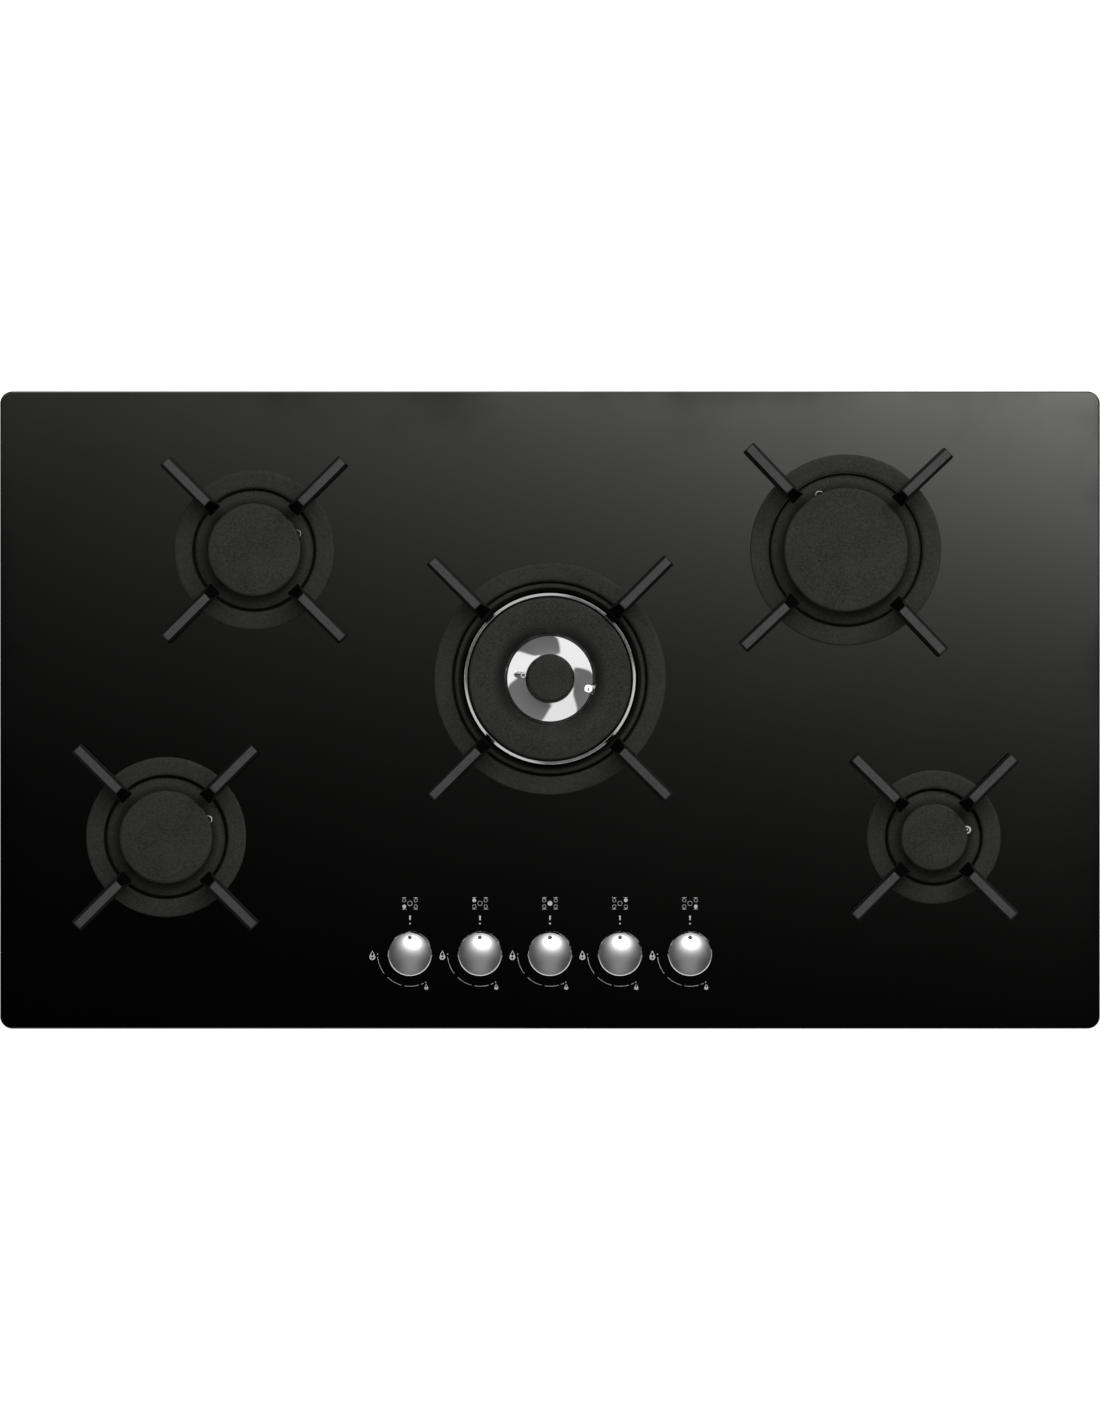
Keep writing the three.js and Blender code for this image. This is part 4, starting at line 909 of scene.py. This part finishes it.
def burner_casting_body(burner):
    """Cup below the glass, and the flange that rests on it with its rounded edge."""
    place, at, flange = CENTRE[burner], ON_GLASS[burner], FLANGE[burner]
    cap = place.half
    neck = cap - NECK_INSET
    section = rounded([
        (BODY_BORE, -BODY_DEPTH), (neck, -BODY_DEPTH), (neck, SEAT_GAP), (flange, SEAT_GAP), (flange, 3.6),
        (cap + 1.5, 5.1), (cap - 3, SEAT_HEIGHT), (BODY_BORE, SEAT_HEIGHT),
    ], [0.5, 2, 0.5, 0.4, 2.6, 4, 0.5, 0.5])
    body = turned("burner_casting_" + burner, section, CASTING[burner], at)
    tool = bmesh.new()
    add_cylinder(tool, IGNITER_HOLE, -2, 9, x=IGNITER[burner].x - place.x, y=IGNITER[burner].y - place.y)
    cut(body, tool, at)
    dress(creased(body), "root", "burner_casting", "burner_body_" + burner)


def flange_gap_shade(burner):
    """A black ring under the edge of the flange, which stands in for the shade in the gap between flange and
    pan support: painted shade.
    """
    inner, outer = FLANGE[burner] - 0.2, FLANGE[burner] + RING_GAP - 0.25
    lathed("flange_gap_shade_" + burner, [(inner, 0.05), (outer, 0.05), (outer, 0.8), (inner, 1.3)],
           [0.1, 0.2, 0.3, 0.3], GAP_SHADE_BLACK, ON_GLASS[burner], "root", "foam_seal", steps=3)


def cut_ports(thing, at, *walls):
    """Cuts even slots across round walls. Each is given by its inner and outer radius and its top."""
    tool = bmesh.new()
    for inner, outer, top in walls:
        count = round(2 * math.pi * outer / PORT_PITCH)
        middle = Matrix.Translation(((inner + outer) / 2, 0, top - PORT_DEPTH / 2 + 0.5))
        for index in range(count):
            turn = Matrix.Rotation(2 * math.pi * (index + 0.5) / count, 4, "Z")
            add_block(tool, outer - inner + 1.6, PORT_WIDTH, PORT_DEPTH + 1, turn @ middle)
    cut(thing, tool, at)


def flame_spreader(burner):
    """Aluminium crown with its ring of ports, on a short tube that drops into the body."""
    place = CENTRE[burner]
    at = (place.x, place.y, GLASS_TOP + SEAT_HEIGHT + SEAT_GAP)
    outer = place.half - SPREADER_INSET
    inner = outer - PORT_WALL
    skirt = BODY_BORE - 0.5
    bore = skirt - SPREADER_WALL
    section = rounded([
        (bore, -SPREADER_SKIRT), (skirt, -SPREADER_SKIRT), (skirt, 0), (outer, 0), (outer, SPREADER_HEIGHT),
        (inner, SPREADER_HEIGHT), (inner, SPREADER_FLOOR), (bore, SPREADER_FLOOR),
    ], [0.4, 0.8, 0, 0.6, 0.4, 0.4, 1, 0.8], 3)
    crown = turned("flame_crown_" + burner, section, ALUMINIUM, at, 96)
    cut_ports(crown, at, (inner, outer, SPREADER_HEIGHT))
    dress(creased(crown), "spreader_" + burner, "spreader_aluminium", "flame_spreader_" + burner)


def round_cap(name, place, locator, thickness, lowering, roundings, sides, node, body):
    """An enamelled cap that is faintly domed, with a locator below it."""
    lathed(name, [
        (0, -CAP_LOCATOR), (locator, -CAP_LOCATOR), (locator, 0), (place.half, 0),
        (place.half, thickness - lowering), (place.half * 0.6, thickness), (0, thickness),
    ], [0, 0.6, 0.3, 0.7, *roundings, 0], ENAMEL, (place.x, place.y, place.high - thickness),
        body, "cap_enamel", node, steps=7, sides=sides)


def burner_cap(burner):
    place = CENTRE[burner]
    locator = place.half - SPREADER_INSET - PORT_WALL - 0.5
    round_cap("enamel_cap_" + burner, place, locator, CAP_THICKNESS, 0.15, (2.1, 8), 160,
              "burner_cap_" + burner, "cap_" + burner)


# Wok burner. Levels are above the glass.

def wok_casting():
    """The deep cup that both crowns stand in, with its narrow flange."""
    outer, cup, flange = WOK_MOUTH - 1, WOK_MOUTH - 3, FLANGE["wok"]
    base = WOK_FLOOR_TOP - WOK_FLOOR
    lathed("wok_burner_casting", [
        (WOK_TUBE_BORE, -WOK_BODY_DEPTH), (WOK_TUBE_RADIUS, -WOK_BODY_DEPTH), (WOK_TUBE_RADIUS, base),
        (outer, base), (outer, SEAT_GAP), (flange, SEAT_GAP), (flange, WOK_FLANGE_HEIGHT),
        (WOK_MOUTH, WOK_FLANGE_HEIGHT), (cup, -2), (cup, WOK_FLOOR_TOP), (WOK_TUBE_RADIUS, WOK_FLOOR_TOP),
        (WOK_TUBE_RADIUS, WOK_TUBE_TOP), (WOK_TUBE_BORE, WOK_TUBE_TOP),
    ], [0.3, 1, 1, 3, 0.3, 0.4, 1.5, 0.9, 2, 2.5, 1, 0.8, 0.8], CASTING["wok"], ON_GLASS["wok"],
        "root", "burner_casting", "burner_body_wok", sides=160)


def wok_holes(thing):
    """Holes for the igniter and the thermocouple."""
    tool = bmesh.new()
    for box, radius in ((IGNITER["wok"], WOK_IGNITER_HOLE), (THERMOCOUPLE, PROBE_HOLE)):
        add_cylinder(tool, radius, -20, 9, x=box.x - CENTRE["wok"].x, y=box.y - CENTRE["wok"].y)
    cut(thing, tool, ON_GLASS["wok"])


def bowl_level(radius):
    """The polished bowl: level below the inner cap, then a gentle curve, steeper from the knee to the lip."""
    cap = WOK_INNER_CAP.half
    width = WOK_CAP_INNER - cap
    out = min(max(0, radius - cap), WOK_BOWL_KNEE - cap)
    level = WOK_BOWL_FOOT + WOK_BOWL_RISE * (out / width) ** 2
    beyond = max(0, radius - WOK_BOWL_KNEE)
    slope = 2 * WOK_BOWL_RISE * out / width ** 2
    reach = WOK_CAP_INNER - WOK_BOWL_KNEE
    left = WOK_CROWN_HEIGHT - level - slope * reach
    return level + slope * beyond + left * (beyond / reach) ** 2


def bowl_curve(start, end, steps):
    radii = [start + (end - start) * step / steps for step in range(steps + 1)]
    return [(radius, bowl_level(radius)) for radius in radii]


def wok_outer_crown():
    """Ring with both port walls and a polished rim. Its lip goes on with the bowl, which lies on its ledge."""
    leg = WOK_CAP_INNER
    inner, outer = leg + SPREADER_INSET, CENTRE["wok"].half - SPREADER_INSET
    foot, rim = WOK_FLOOR_TOP + SEAT_GAP, WOK_RIM_INNER + 0.1
    deck, top = WOK_CROWN_HEIGHT, WOK_PORT_TOP
    low, high = WOK_LEDGE_LEVELS
    section = rounded([
        (leg, foot), (leg + WOK_LEG, foot), (leg + WOK_LEG, 4), (WOK_RIM_RADIUS, 4), (WOK_RIM_RADIUS, 7.8),
        (WOK_RIM_INNER + 0.9, 9.1), (rim, 9.2), (rim, deck), (outer, deck), (outer, top),
        (outer - PORT_WALL, top), (outer - PORT_WALL, deck), (inner + PORT_WALL, deck),
        (inner + PORT_WALL, top), (inner, top), (inner, deck),
    ], [0.4, 0.4, 1, 1.2, 1.2, 0.9, 0.3, 0.3, 0.4, 0.4, 0.4, 0.5, 0.5, 0.4, 0.4, 0.4])
    section += bowl_curve(leg, WOK_LIP_RADIUS, 6)
    section += [(WOK_LIP_RADIUS, high), (WOK_LEDGE_INNER, high), (WOK_LEDGE_INNER, low), (leg, low)]
    crown = turned("wok_outer_flame_crown", section, CROWN, ON_GLASS["wok"], 160)
    wok_holes(crown)
    cut_ports(crown, ON_GLASS["wok"], (outer - PORT_WALL, outer, top), (inner, inner + PORT_WALL, top))
    dress(creased(crown), "wok_outer_crown", "polished_crown", "wok_outer_crown")


def wok_outer_cap():
    """A flat ring that dips gently towards the bowl."""
    place = CENTRE["wok"]
    inner, outer = WOK_CAP_INNER, place.half
    lip_inner = inner + SPREADER_INSET + PORT_WALL + 0.5
    lip_outer = outer - SPREADER_INSET - PORT_WALL - 0.5
    top = CAP_THICKNESS
    lathed("wok_outer_enamel_cap", [
        (inner, 0), (lip_inner, 0), (lip_inner, -CAP_LOCATOR), (lip_outer, -CAP_LOCATOR), (lip_outer, 0),
        (outer, 0), (outer, top - 0.15), (outer - 9, top), (inner + 14, top), (inner, top - 1.1),
    ], [0.6, 0.3, 0.5, 0.5, 0.3, 0.7, 2.1, 4, 9, 1.2], WOK_ENAMEL,
        (place.x, place.y, GLASS_TOP + WOK_PORT_TOP + SEAT_GAP),
        "wok_outer_cap", "cap_enamel", "wok_outer_cap", steps=7, sides=192)


def wok_bowl_crown():
    """The polished bowl with the ports of the inner flame ring in its middle."""
    ports = WOK_INNER_CAP.half - SPREADER_INSET / 2
    inner = ports - WOK_INNER_PORT_WALL
    bowl = bowl_curve(ports + 0.4, WOK_BOWL_RADIUS, 30)
    under = [(radius, level - WOK_BOWL_WALL) for radius, level in bowl]
    base = WOK_TUBE_TOP + SEAT_GAP
    section = [
        (WOK_THROAT, base), (ports, base), *under, *bowl[::-1], (ports, WOK_BOWL_FOOT + 0.4),
        (ports, WOK_INNER_PORT_TOP), (inner, WOK_INNER_PORT_TOP), (inner, WOK_BOWL_FOOT),
        (WOK_THROAT, WOK_BOWL_FOOT),
    ]
    crown = turned("wok_bowl_crown", section, CHROME, ON_GLASS["wok"], 160, 50)
    wok_holes(crown)
    cut_ports(crown, ON_GLASS["wok"], (inner, ports, WOK_INNER_PORT_TOP))
    dress(creased(crown, 50), "wok_inner_crown", "polished_crown", "wok_inner_crown")


def wok_inner_cap():
    place = WOK_INNER_CAP
    locator = place.half - SPREADER_INSET / 2 - PORT_WALL
    round_cap("wok_inner_enamel_cap", place, locator, place.height - CAP_LOCATOR, 0.1, (2.0, 5), 128,
              "wok_inner_cap", "wok_inner_cap")


# Igniters and thermocouple

def igniter(burner):
    """Glazed ceramic with a countersunk end, and the metal pin in it."""
    box = IGNITER[burner]
    top = box.height - PIN_RISE
    shoulder = top - CERAMIC_SHOULDER[burner]
    bottom = top - RECESS_DEPTH[burner]
    lathed("ceramic_" + burner, [
        (0, 0), (CERAMIC_FOOT, 0), (CERAMIC_FOOT, shoulder - 4), (CERAMIC_COLLAR, shoulder - 4),
        (CERAMIC_COLLAR, shoulder), (CERAMIC_RADIUS, shoulder), (CERAMIC_RADIUS, top), (RECESS_RADIUS, top),
        (RECESS_RADIUS - 0.1, bottom), (0, bottom),
    ], [0, 0.5, 0.2, 0.5, 0.5, 0.2, 0.4, 0.3, 0.05, 0], CERAMIC[burner], box.foot,
        "root", "igniter_ceramic", "igniter_" + burner, steps=4, sides=40)
    # The pins but the wok's and the right front's are near-black: painted shade
    lathed("igniter_pin_" + burner, [
        (0, bottom - 0.5), (PIN_RADIUS, bottom - 0.5), (PIN_RADIUS, box.height), (0, box.height),
    ], [0, 0, 0.4, 0], STEEL if burner in ("wok", "right_front") else SHADED_PIN, box.foot,
        "root", "probe_steel", steps=4, sides=24)


def thermocouple():
    """Drawn tube with a crimped, dimpled end."""
    top = THERMOCOUPLE.height
    collar_low, collar_high = top - 31, top - 27.4
    lathed("thermocouple_tube", [
        (0, 0), (PROBE_RADIUS, 0), (PROBE_RADIUS, collar_low), (PROBE_COLLAR, collar_low),
        (PROBE_COLLAR, collar_high), (PROBE_RADIUS, collar_high), (PROBE_RADIUS, top), (1.3, top),
        (0.9, top - 1.0), (0, top - 1.2),
    ], [0, 0.4, 0.2, 0.5, 0.5, 0.2, 0.9, 0.4, 0.3, 0], PROBE, THERMOCOUPLE.foot,
        "root", "probe_steel", "wok_thermocouple", sides=FINE)


# Pan supports. Levels are above the glass.

def finger_plate(ring_inner, ring_outer, tip):
    """One finger along +X: a plate whose sides draw in towards the pan, with rounded edges."""
    nose = ring_inner - FINGER_OVERHANG
    side_view = rounded([
        (ring_inner + 1.2, 3.5), (ring_outer - 1.2, 3.5), (ring_outer - 1.2, RING_HEIGHT + 0.5),
        (ring_outer + 5, PAN_HEIGHT - 20), (tip - 1.5, PAN_HEIGHT - 10), (tip, PAN_HEIGHT - 8.5),
        (tip, PAN_HEIGHT - 1.5), (tip - 1.5, PAN_HEIGHT), (nose + FINGER_NOSE, PAN_HEIGHT),
        (nose, PAN_HEIGHT - 12), (nose, PAN_HEIGHT - 16),
    ], [0, 0, 3, 9, 1.5, 0.8, 0.8, 0.8, 3.5, 3, 3], 4)
    bm = bmesh.new()
    sheets = [[bm.verts.new((radius, side * FINGER_FOOT_WIDTH / 2, level)) for radius, level in side_view]
              for side in (-1, 1)]
    add_strip(bm, *sheets)
    for ring in sheets:
        bm.faces.new(ring)
    for side in (-1, 1):
        normal = Vector((0, side * FINGER_SHOULDER, (FINGER_FOOT_WIDTH - FINGER_TOP_WIDTH) / 2))
        halves = bmesh.ops.bisect_plane(
            bm, geom=[*bm.verts, *bm.edges, *bm.faces], plane_co=(0, side * FINGER_TOP_WIDTH / 2, PAN_HEIGHT),
            plane_no=normal, clear_outer=True)
        bared = [part for part in halves["geom_cut"] if isinstance(part, bmesh.types.BMEdge)]
        bmesh.ops.contextual_create(bm, geom=bared)
    bmesh.ops.recalc_face_normals(bm, faces=bm.faces)
    long_edges = [edge for edge in bm.edges
                  if len(edge.link_faces) == 2 and edge.calc_face_angle() > math.radians(40)
                  and max(abs(face.normal.y) for face in edge.link_faces) > 0.5]
    bmesh.ops.bevel(bm, geom=long_edges, offset=FINGER_EDGE, segments=3, profile=0.5, affect="EDGES",
                    clamp_overlap=True)
    bm.normal_update()
    # Faces of the inner end take the second material, near-black painted shade
    for face in bm.faces:
        if face.normal.x < -0.3 and face.calc_center_median().x < nose + FINGER_NOSE:
            face.material_index = 1
    return bm


def pan_support(burner):
    """One casting: a flat ring on the glass and four fingers, whose inner ends are painted near-black as shade.
    """
    ring_inner = FLANGE[burner] + RING_GAP
    ring_outer = ring_inner + RING_WIDTH
    section = rounded([
        (ring_inner, 0.3), (ring_outer, 0.3), (ring_outer, RING_HEIGHT - 0.3), (ring_outer - 3, RING_HEIGHT),
        (ring_inner + 3, RING_HEIGHT), (ring_inner, RING_HEIGHT - 0.3),
    ], [0.8, 0.8, 1.5, 3, 3, 1.5], 5)
    ring = turned("cast_pan_support_" + burner, section, IRON, ON_GLASS[burner], 160)
    ring.data.materials.append(NOSE_SHADE_IRON)
    for index in range(4):
        bm = finger_plate(ring_inner, ring_outer, ring_outer + FINGER_REACH[burner])
        angle = math.radians(45 + 90 * index + SUPPORT_TURN[burner])
        bmesh.ops.rotate(bm, matrix=Matrix.Rotation(angle, 3, "Z"), verts=bm.verts)
        finger = piece("finger", bm, IRON, ON_GLASS[burner])
        finger.data.materials.append(NOSE_SHADE_IRON)
        combined(ring, finger, "UNION")
    dress(creased(ring, 38), "pan_support_" + burner, "cast_iron", "pan_support_" + burner)


# Knobs

def knob_drop(share):
    """How far the domed face is below its middle, at a share of its radius."""
    return KNOB_SAG * share ** 2 + KNOB_SHOULDER * share ** 6


def knob(burner):
    """Spun metal cap: a straight rim, a skirt that draws in, and a domed face with a sunk dot."""
    box = KNOB[burner]
    face = box.half - KNOB_EDGE
    foot = box.height - knob_drop(1)
    shares = [1 - step / 30 for step in range(1, 31)]
    dome = [(face * share, box.height - knob_drop(share)) for share in shares]
    skirt = rounded([
        (KNOB_BORE, 0), (box.half, 0), (box.half, 2.3), (box.half - 0.35, 2.9), (face + 0.65, foot - 0.72),
        (face, foot), dome[0],
    ], [0, 0.4, 0.15, 0.2, 0.12, 0.12, 0], 4, closed=False)
    section = [*skirt[:-1], *dome, (0, KNOB_BORE_DEPTH), (KNOB_BORE, KNOB_BORE_DEPTH)]
    shell = turned("spun_knob_" + burner, section, SATIN, box.foot, 160, 40)
    sunk = box.height - knob_drop(KNOB_DOT_OFFSET / face) - KNOB_DOT_DEPTH
    tool = bmesh.new()
    add_cylinder(tool, KNOB_DOT_RADIUS, sunk, 25, y=KNOB_DOT_OFFSET)
    cut(shell, tool, box.foot)
    dress(creased(shell, 40), "knob_" + burner, "knob_metal", "knob_" + burner)
    dot = bmesh.new()
    radius = KNOB_DOT_RADIUS - 0.05
    section = rounded([(0, sunk - 0.2), (radius, sunk - 0.2), (radius, sunk + 0.35), (0, sunk + 0.5)],
                      [0, 0, 0.2, 0], 3)
    add_turned(dot, section, 32, 0, KNOB_DOT_OFFSET)
    dress(piece("knob_dot_" + burner, dot, DOT_PAINT, box.foot), "knob_" + burner, "knob_metal")


def spindle_grommet(burner):
    """Rubber sleeve that lines the spindle's hole in the glass."""
    inner, outer = GROMMET
    low, high = GROMMET_LEVELS
    lathed("spindle_grommet_" + burner, [(inner, low), (outer, low), (outer, high), (inner, high)], 0.25,
           RUBBER, (KNOB[burner].x, KNOB_Y, GLASS_TOP), "root", "foam_seal", steps=3, sides=40)


# CAD nodes whose shape stays

KEPT = {"fixing_bracket_left": SHEET, "fixing_bracket_right": SHEET, "gas_rail": STEEL,
        "ignition_module": PLASTIC}
for name in BURNERS:
    KEPT.update({"spindle_" + name: STEEL, "tap_plug_" + name: BRASS, "tap_body_" + name: CAST_TAP,
                 "gas_pipe_" + name: DRAWN_PIPE})


def kept_nodes():
    for name, material in KEPT.items():
        for place in frame["nodes"][name].material_slots:
            place.material = material


# Camera, floor and light, in metres

VIEW_WIDTH = 0.88
IMAGE_WIDTH, IMAGE_HEIGHT = 1100, 1422
GLASS_MIDDLE_ROW = 710
CAMERA_DISTANCE = 20.0

FLOOR_HALF = 12
FLOOR_GLOW = 0.92
FLOOR_LEVEL = -0.0003
AMBIENT = 0.15

CARD_HEIGHT = 15.9
CARD_HALF_X, CARD_HALF_Y = 0.80, 0.48
CARD_TINT = (1, 1, 0.95, 1)
# The logarithm of the card's glow in its middle, how it grows along x and y, and how it bends and twists
CARD_LEVEL = -1.36
CARD_ALONG_X, CARD_ALONG_Y = 1.21, 4.75
CARD_BEND_X, CARD_BEND_Y = -0.122, -1.3
CARD_TWIST = 0.3

CEILING_HEIGHT = 16.0
CEILING_RADIUS = 64.0
CEILING_GREY = 0.165
CEILING_SWING = (0.35, -0.2)
CEILING_EDGE = 2.5
CEILING_FLARE = 5
CEILING_FLARE_END = 0.3
CEILING_HUB = (1.2, 1.5)
CEILING_HUB_LEVEL = 0.06
CEILING_NEAR = 2.2
CEILING_FAR = 19.2
# White sectors, in degrees: middle, its drift, half width, its growth, and how bright the sector is
CEILING_SECTORS = ((226.5, -2, 22.5, 16, 1.0), (322.3, 24, 23.3, 2.5, 1.0), (124, -20.5, 27, -1.5, 0.9))

CHROME_PIECES = ["wok_bowl_crown", "wok_outer_flame_crown"]
KNOB_PIECES = ["spun_knob_" + name for name in BURNERS]


def camera():
    """A very long lens straight above, framed so that a pixel of the photograph is 0.8 mm of glass."""
    pixel = VIEW_WIDTH / IMAGE_WIDTH
    data = bpy.data.cameras.new("camera")
    data.lens = data.sensor_width * CAMERA_DISTANCE / (IMAGE_HEIGHT * pixel)
    data.clip_start = 1.0
    data.clip_end = 100.0
    shot = added("camera", data)
    shot.location = (0, (GLASS_MIDDLE_ROW - IMAGE_HEIGHT / 2) * pixel, GLASS_TOP * MM + CAMERA_DISTANCE)
    bpy.context.scene.camera = shot


def link_light(source, members, lit):
    """Keeps the light of a lamp or sheet for the members, or from them."""
    group = bpy.data.collections.new(source.name + "_members")
    for thing in members:
        group.objects.link(bpy.data.objects[thing])
    source.light_linking.receiver_collection = group
    for member in group.collection_objects:
        member.light_linking.link_state = "INCLUDE" if lit else "EXCLUDE"


def stage_sheet(name, outline, height, material):
    """A level sheet that isn't part of the object."""
    mesh = bpy.data.meshes.new(name)
    mesh.from_pydata([(x, y, 0) for x, y in outline], [], [list(range(len(outline)))])
    mesh.materials.append(material)
    sheet = added(name, mesh)
    sheet.location = (0, 0, height)
    return sheet


def rectangle(half_x, half_y):
    return [(-half_x, -half_y), (half_x, -half_y), (half_x, half_y), (-half_x, half_y)]


def reflected_sheet(name, outline, height, paint, strength, tint, without):
    """A glowing sheet that shows in reflections alone, and not in those of the pieces named last."""
    emission = paint.node("ShaderNodeEmission", Color=tint, Strength=strength)
    sheet = stage_sheet(name, outline, height, paint.show(emission))
    sheet.visible_camera = False
    sheet.visible_diffuse = False
    sheet.visible_shadow = False
    sheet.visible_transmission = False
    sheet.visible_volume_scatter = False
    link_light(sheet, without, False)


def floor():
    """Pale floor that glows for the camera, so that only the object's shadow shows. It is clear from below."""
    paint = Paint("pale_floor")
    paint.feed(paint.shader.inputs["Emission Color"], (1, 1, 1, 1))
    paint.feed(paint.shader.inputs["Emission Strength"], paint.seen(FLOOR_GLOW))
    paint.finish(paint.mix(paint.noise(60, 3.0), grey(0.50), grey(0.52)), 0.9)
    sides = paint.node("ShaderNodeMixShader", Fac=paint.node("ShaderNodeNewGeometry").outputs["Backfacing"])
    paint.feed(sides.inputs[1], paint.shader.outputs["BSDF"])
    paint.feed(sides.inputs[2], paint.node("ShaderNodeBsdfTransparent").outputs["BSDF"])
    stage_sheet("floor", rectangle(FLOOR_HALF, FLOOR_HALF), FLOOR_LEVEL, paint.show(sides))


def studio_ceiling():
    """A grey ceiling with three white sectors, which flare near the middle and grow outwards."""
    paint = Paint("studio_ceiling")
    place = paint.coordinates()
    turn = paint.sum(place["Y"], place["X"], "ARCTAN2")
    bearing = paint.product(turn, 180 / math.pi)
    away = paint.sum(paint.sum(paint.axis_distance(), 0.001), math.e, "LOGARITHM")
    out = paint.span(away, math.log(CEILING_NEAR), math.log(CEILING_FAR))
    near = paint.span(out, 0, CEILING_FLARE_END, 1, 0)
    flare = paint.product(paint.product(near, near), CEILING_FLARE)
    swing = paint.product(paint.sum(turn, 0.0, "SINE"), paint.span(out, 0, 1, *CEILING_SWING))
    shine = paint.product(paint.sum(1.0, swing, "SUBTRACT"), CEILING_GREY)
    for middle, drift, half, growth, strength in CEILING_SECTORS:
        centre = paint.sum(paint.product(out, drift), middle)
        off = paint.sum(paint.sum(bearing, centre, "SUBTRACT"), 180.0, "PINGPONG")
        width = paint.sum(paint.sum(paint.product(paint.product(out, out), growth), half), flare)
        inside = paint.span(paint.sum(off, width, "SUBTRACT"), -CEILING_EDGE, CEILING_EDGE, strength, 0)
        shine = paint.sum(inside, shine, "MAXIMUM")
    hub = paint.span(away, *(math.log(radius) for radius in CEILING_HUB), CEILING_HUB_LEVEL, 1)
    reflected_sheet("studio_ceiling", circle(0, 0, CEILING_RADIUS, 64), CEILING_HEIGHT, paint,
                    paint.product(shine, hub), (1, 1, 1, 1), ["glass_plate"] + KNOB_PIECES)


def overhead_card():
    """What the glass mirrors: a dark card that glows towards its far right corner."""
    paint = Paint("overhead_card")
    place = paint.coordinates()
    x, y = place["X"], place["Y"]
    across = paint.sum(paint.product(x, CARD_BEND_X), paint.sum(paint.product(y, CARD_TWIST), CARD_ALONG_X))
    back = paint.sum(paint.product(y, CARD_BEND_Y), CARD_ALONG_Y)
    glow = paint.sum(paint.product(x, across), paint.product(y, back))
    strength = paint.sum(math.e, paint.sum(glow, CARD_LEVEL), "POWER")
    reflected_sheet("overhead_card", rectangle(CARD_HALF_X, CARD_HALF_Y), CARD_HEIGHT, paint, strength,
                    CARD_TINT, CHROME_PIECES)


def world():
    """White for the camera, mirrors and glass, and a weak light for the rest."""
    data = bpy.data.worlds.new("studio")
    data.use_nodes = True
    bpy.context.scene.world = data
    sky = Nodes(data.node_tree)
    background = sky.tree.nodes["Background"].inputs
    background["Color"].default_value = (1, 1, 1, 1)
    sky.feed(background["Strength"], sky.span(sky.seen(1.0), 0, 1, AMBIENT, 1))


def area_light(name, location, size, power, members, lit, aim=(0, 0, 0.06)):
    """A lamp for the members alone, or for all but them. The rest neither mirror it nor are lit by it."""
    data = bpy.data.lights.new(name, "AREA")
    data.shape = "RECTANGLE"
    data.size, data.size_y = size
    data.energy = power
    lamp = added(name, data)
    lamp.location = location
    lamp.rotation_euler = (Vector(aim) - Vector(location)).to_track_quat("-Z", "Y").to_euler()
    link_light(lamp, members, lit)


def lights():
    """Three lamps for the hob, and two for its knobs. The first of the two also lights the wok's igniter."""
    bright = CHROME_PIECES + KNOB_PIECES
    area_light("key", (0.12, 1.40, 2.71), (3.4, 1.6), 44, bright, False)
    area_light("side", (1.84, 1.84, 1.56), (1.6, 1.2), 36, bright, False)
    area_light("fill", (-0.6, -1.8, 2.0), (1.4, 1.0), 2.5, bright, False)
    area_light("detail_lamp", (0.25, 1.40, 2.71), (1.2, 0.8), 190, KNOB_PIECES + ["ceramic_wok"], True)
    area_light("knob_fill", (0, -2.2, 2.8), (2.4, 3.2), 26, KNOB_PIECES, True)


# The scene

camera()
glass_plate()
seal_strip()
tray_pan()
screws()
for name in BURNERS:
    printed_marks(name)
    knob(name)
    spindle_grommet(name)
    igniter(name)
    pan_support(name)
    flange_gap_shade(name)
for name in RINGED:
    burner_casting_body(name)
    flame_spreader(name)
    burner_cap(name)
wok_casting()
wok_outer_crown()
wok_bowl_crown()
wok_outer_cap()
wok_inner_cap()
thermocouple()
kept_nodes()
floor()
studio_ceiling()
overhead_card()
world()
lights()
bpy.context.scene.view_settings.view_transform = "Standard"
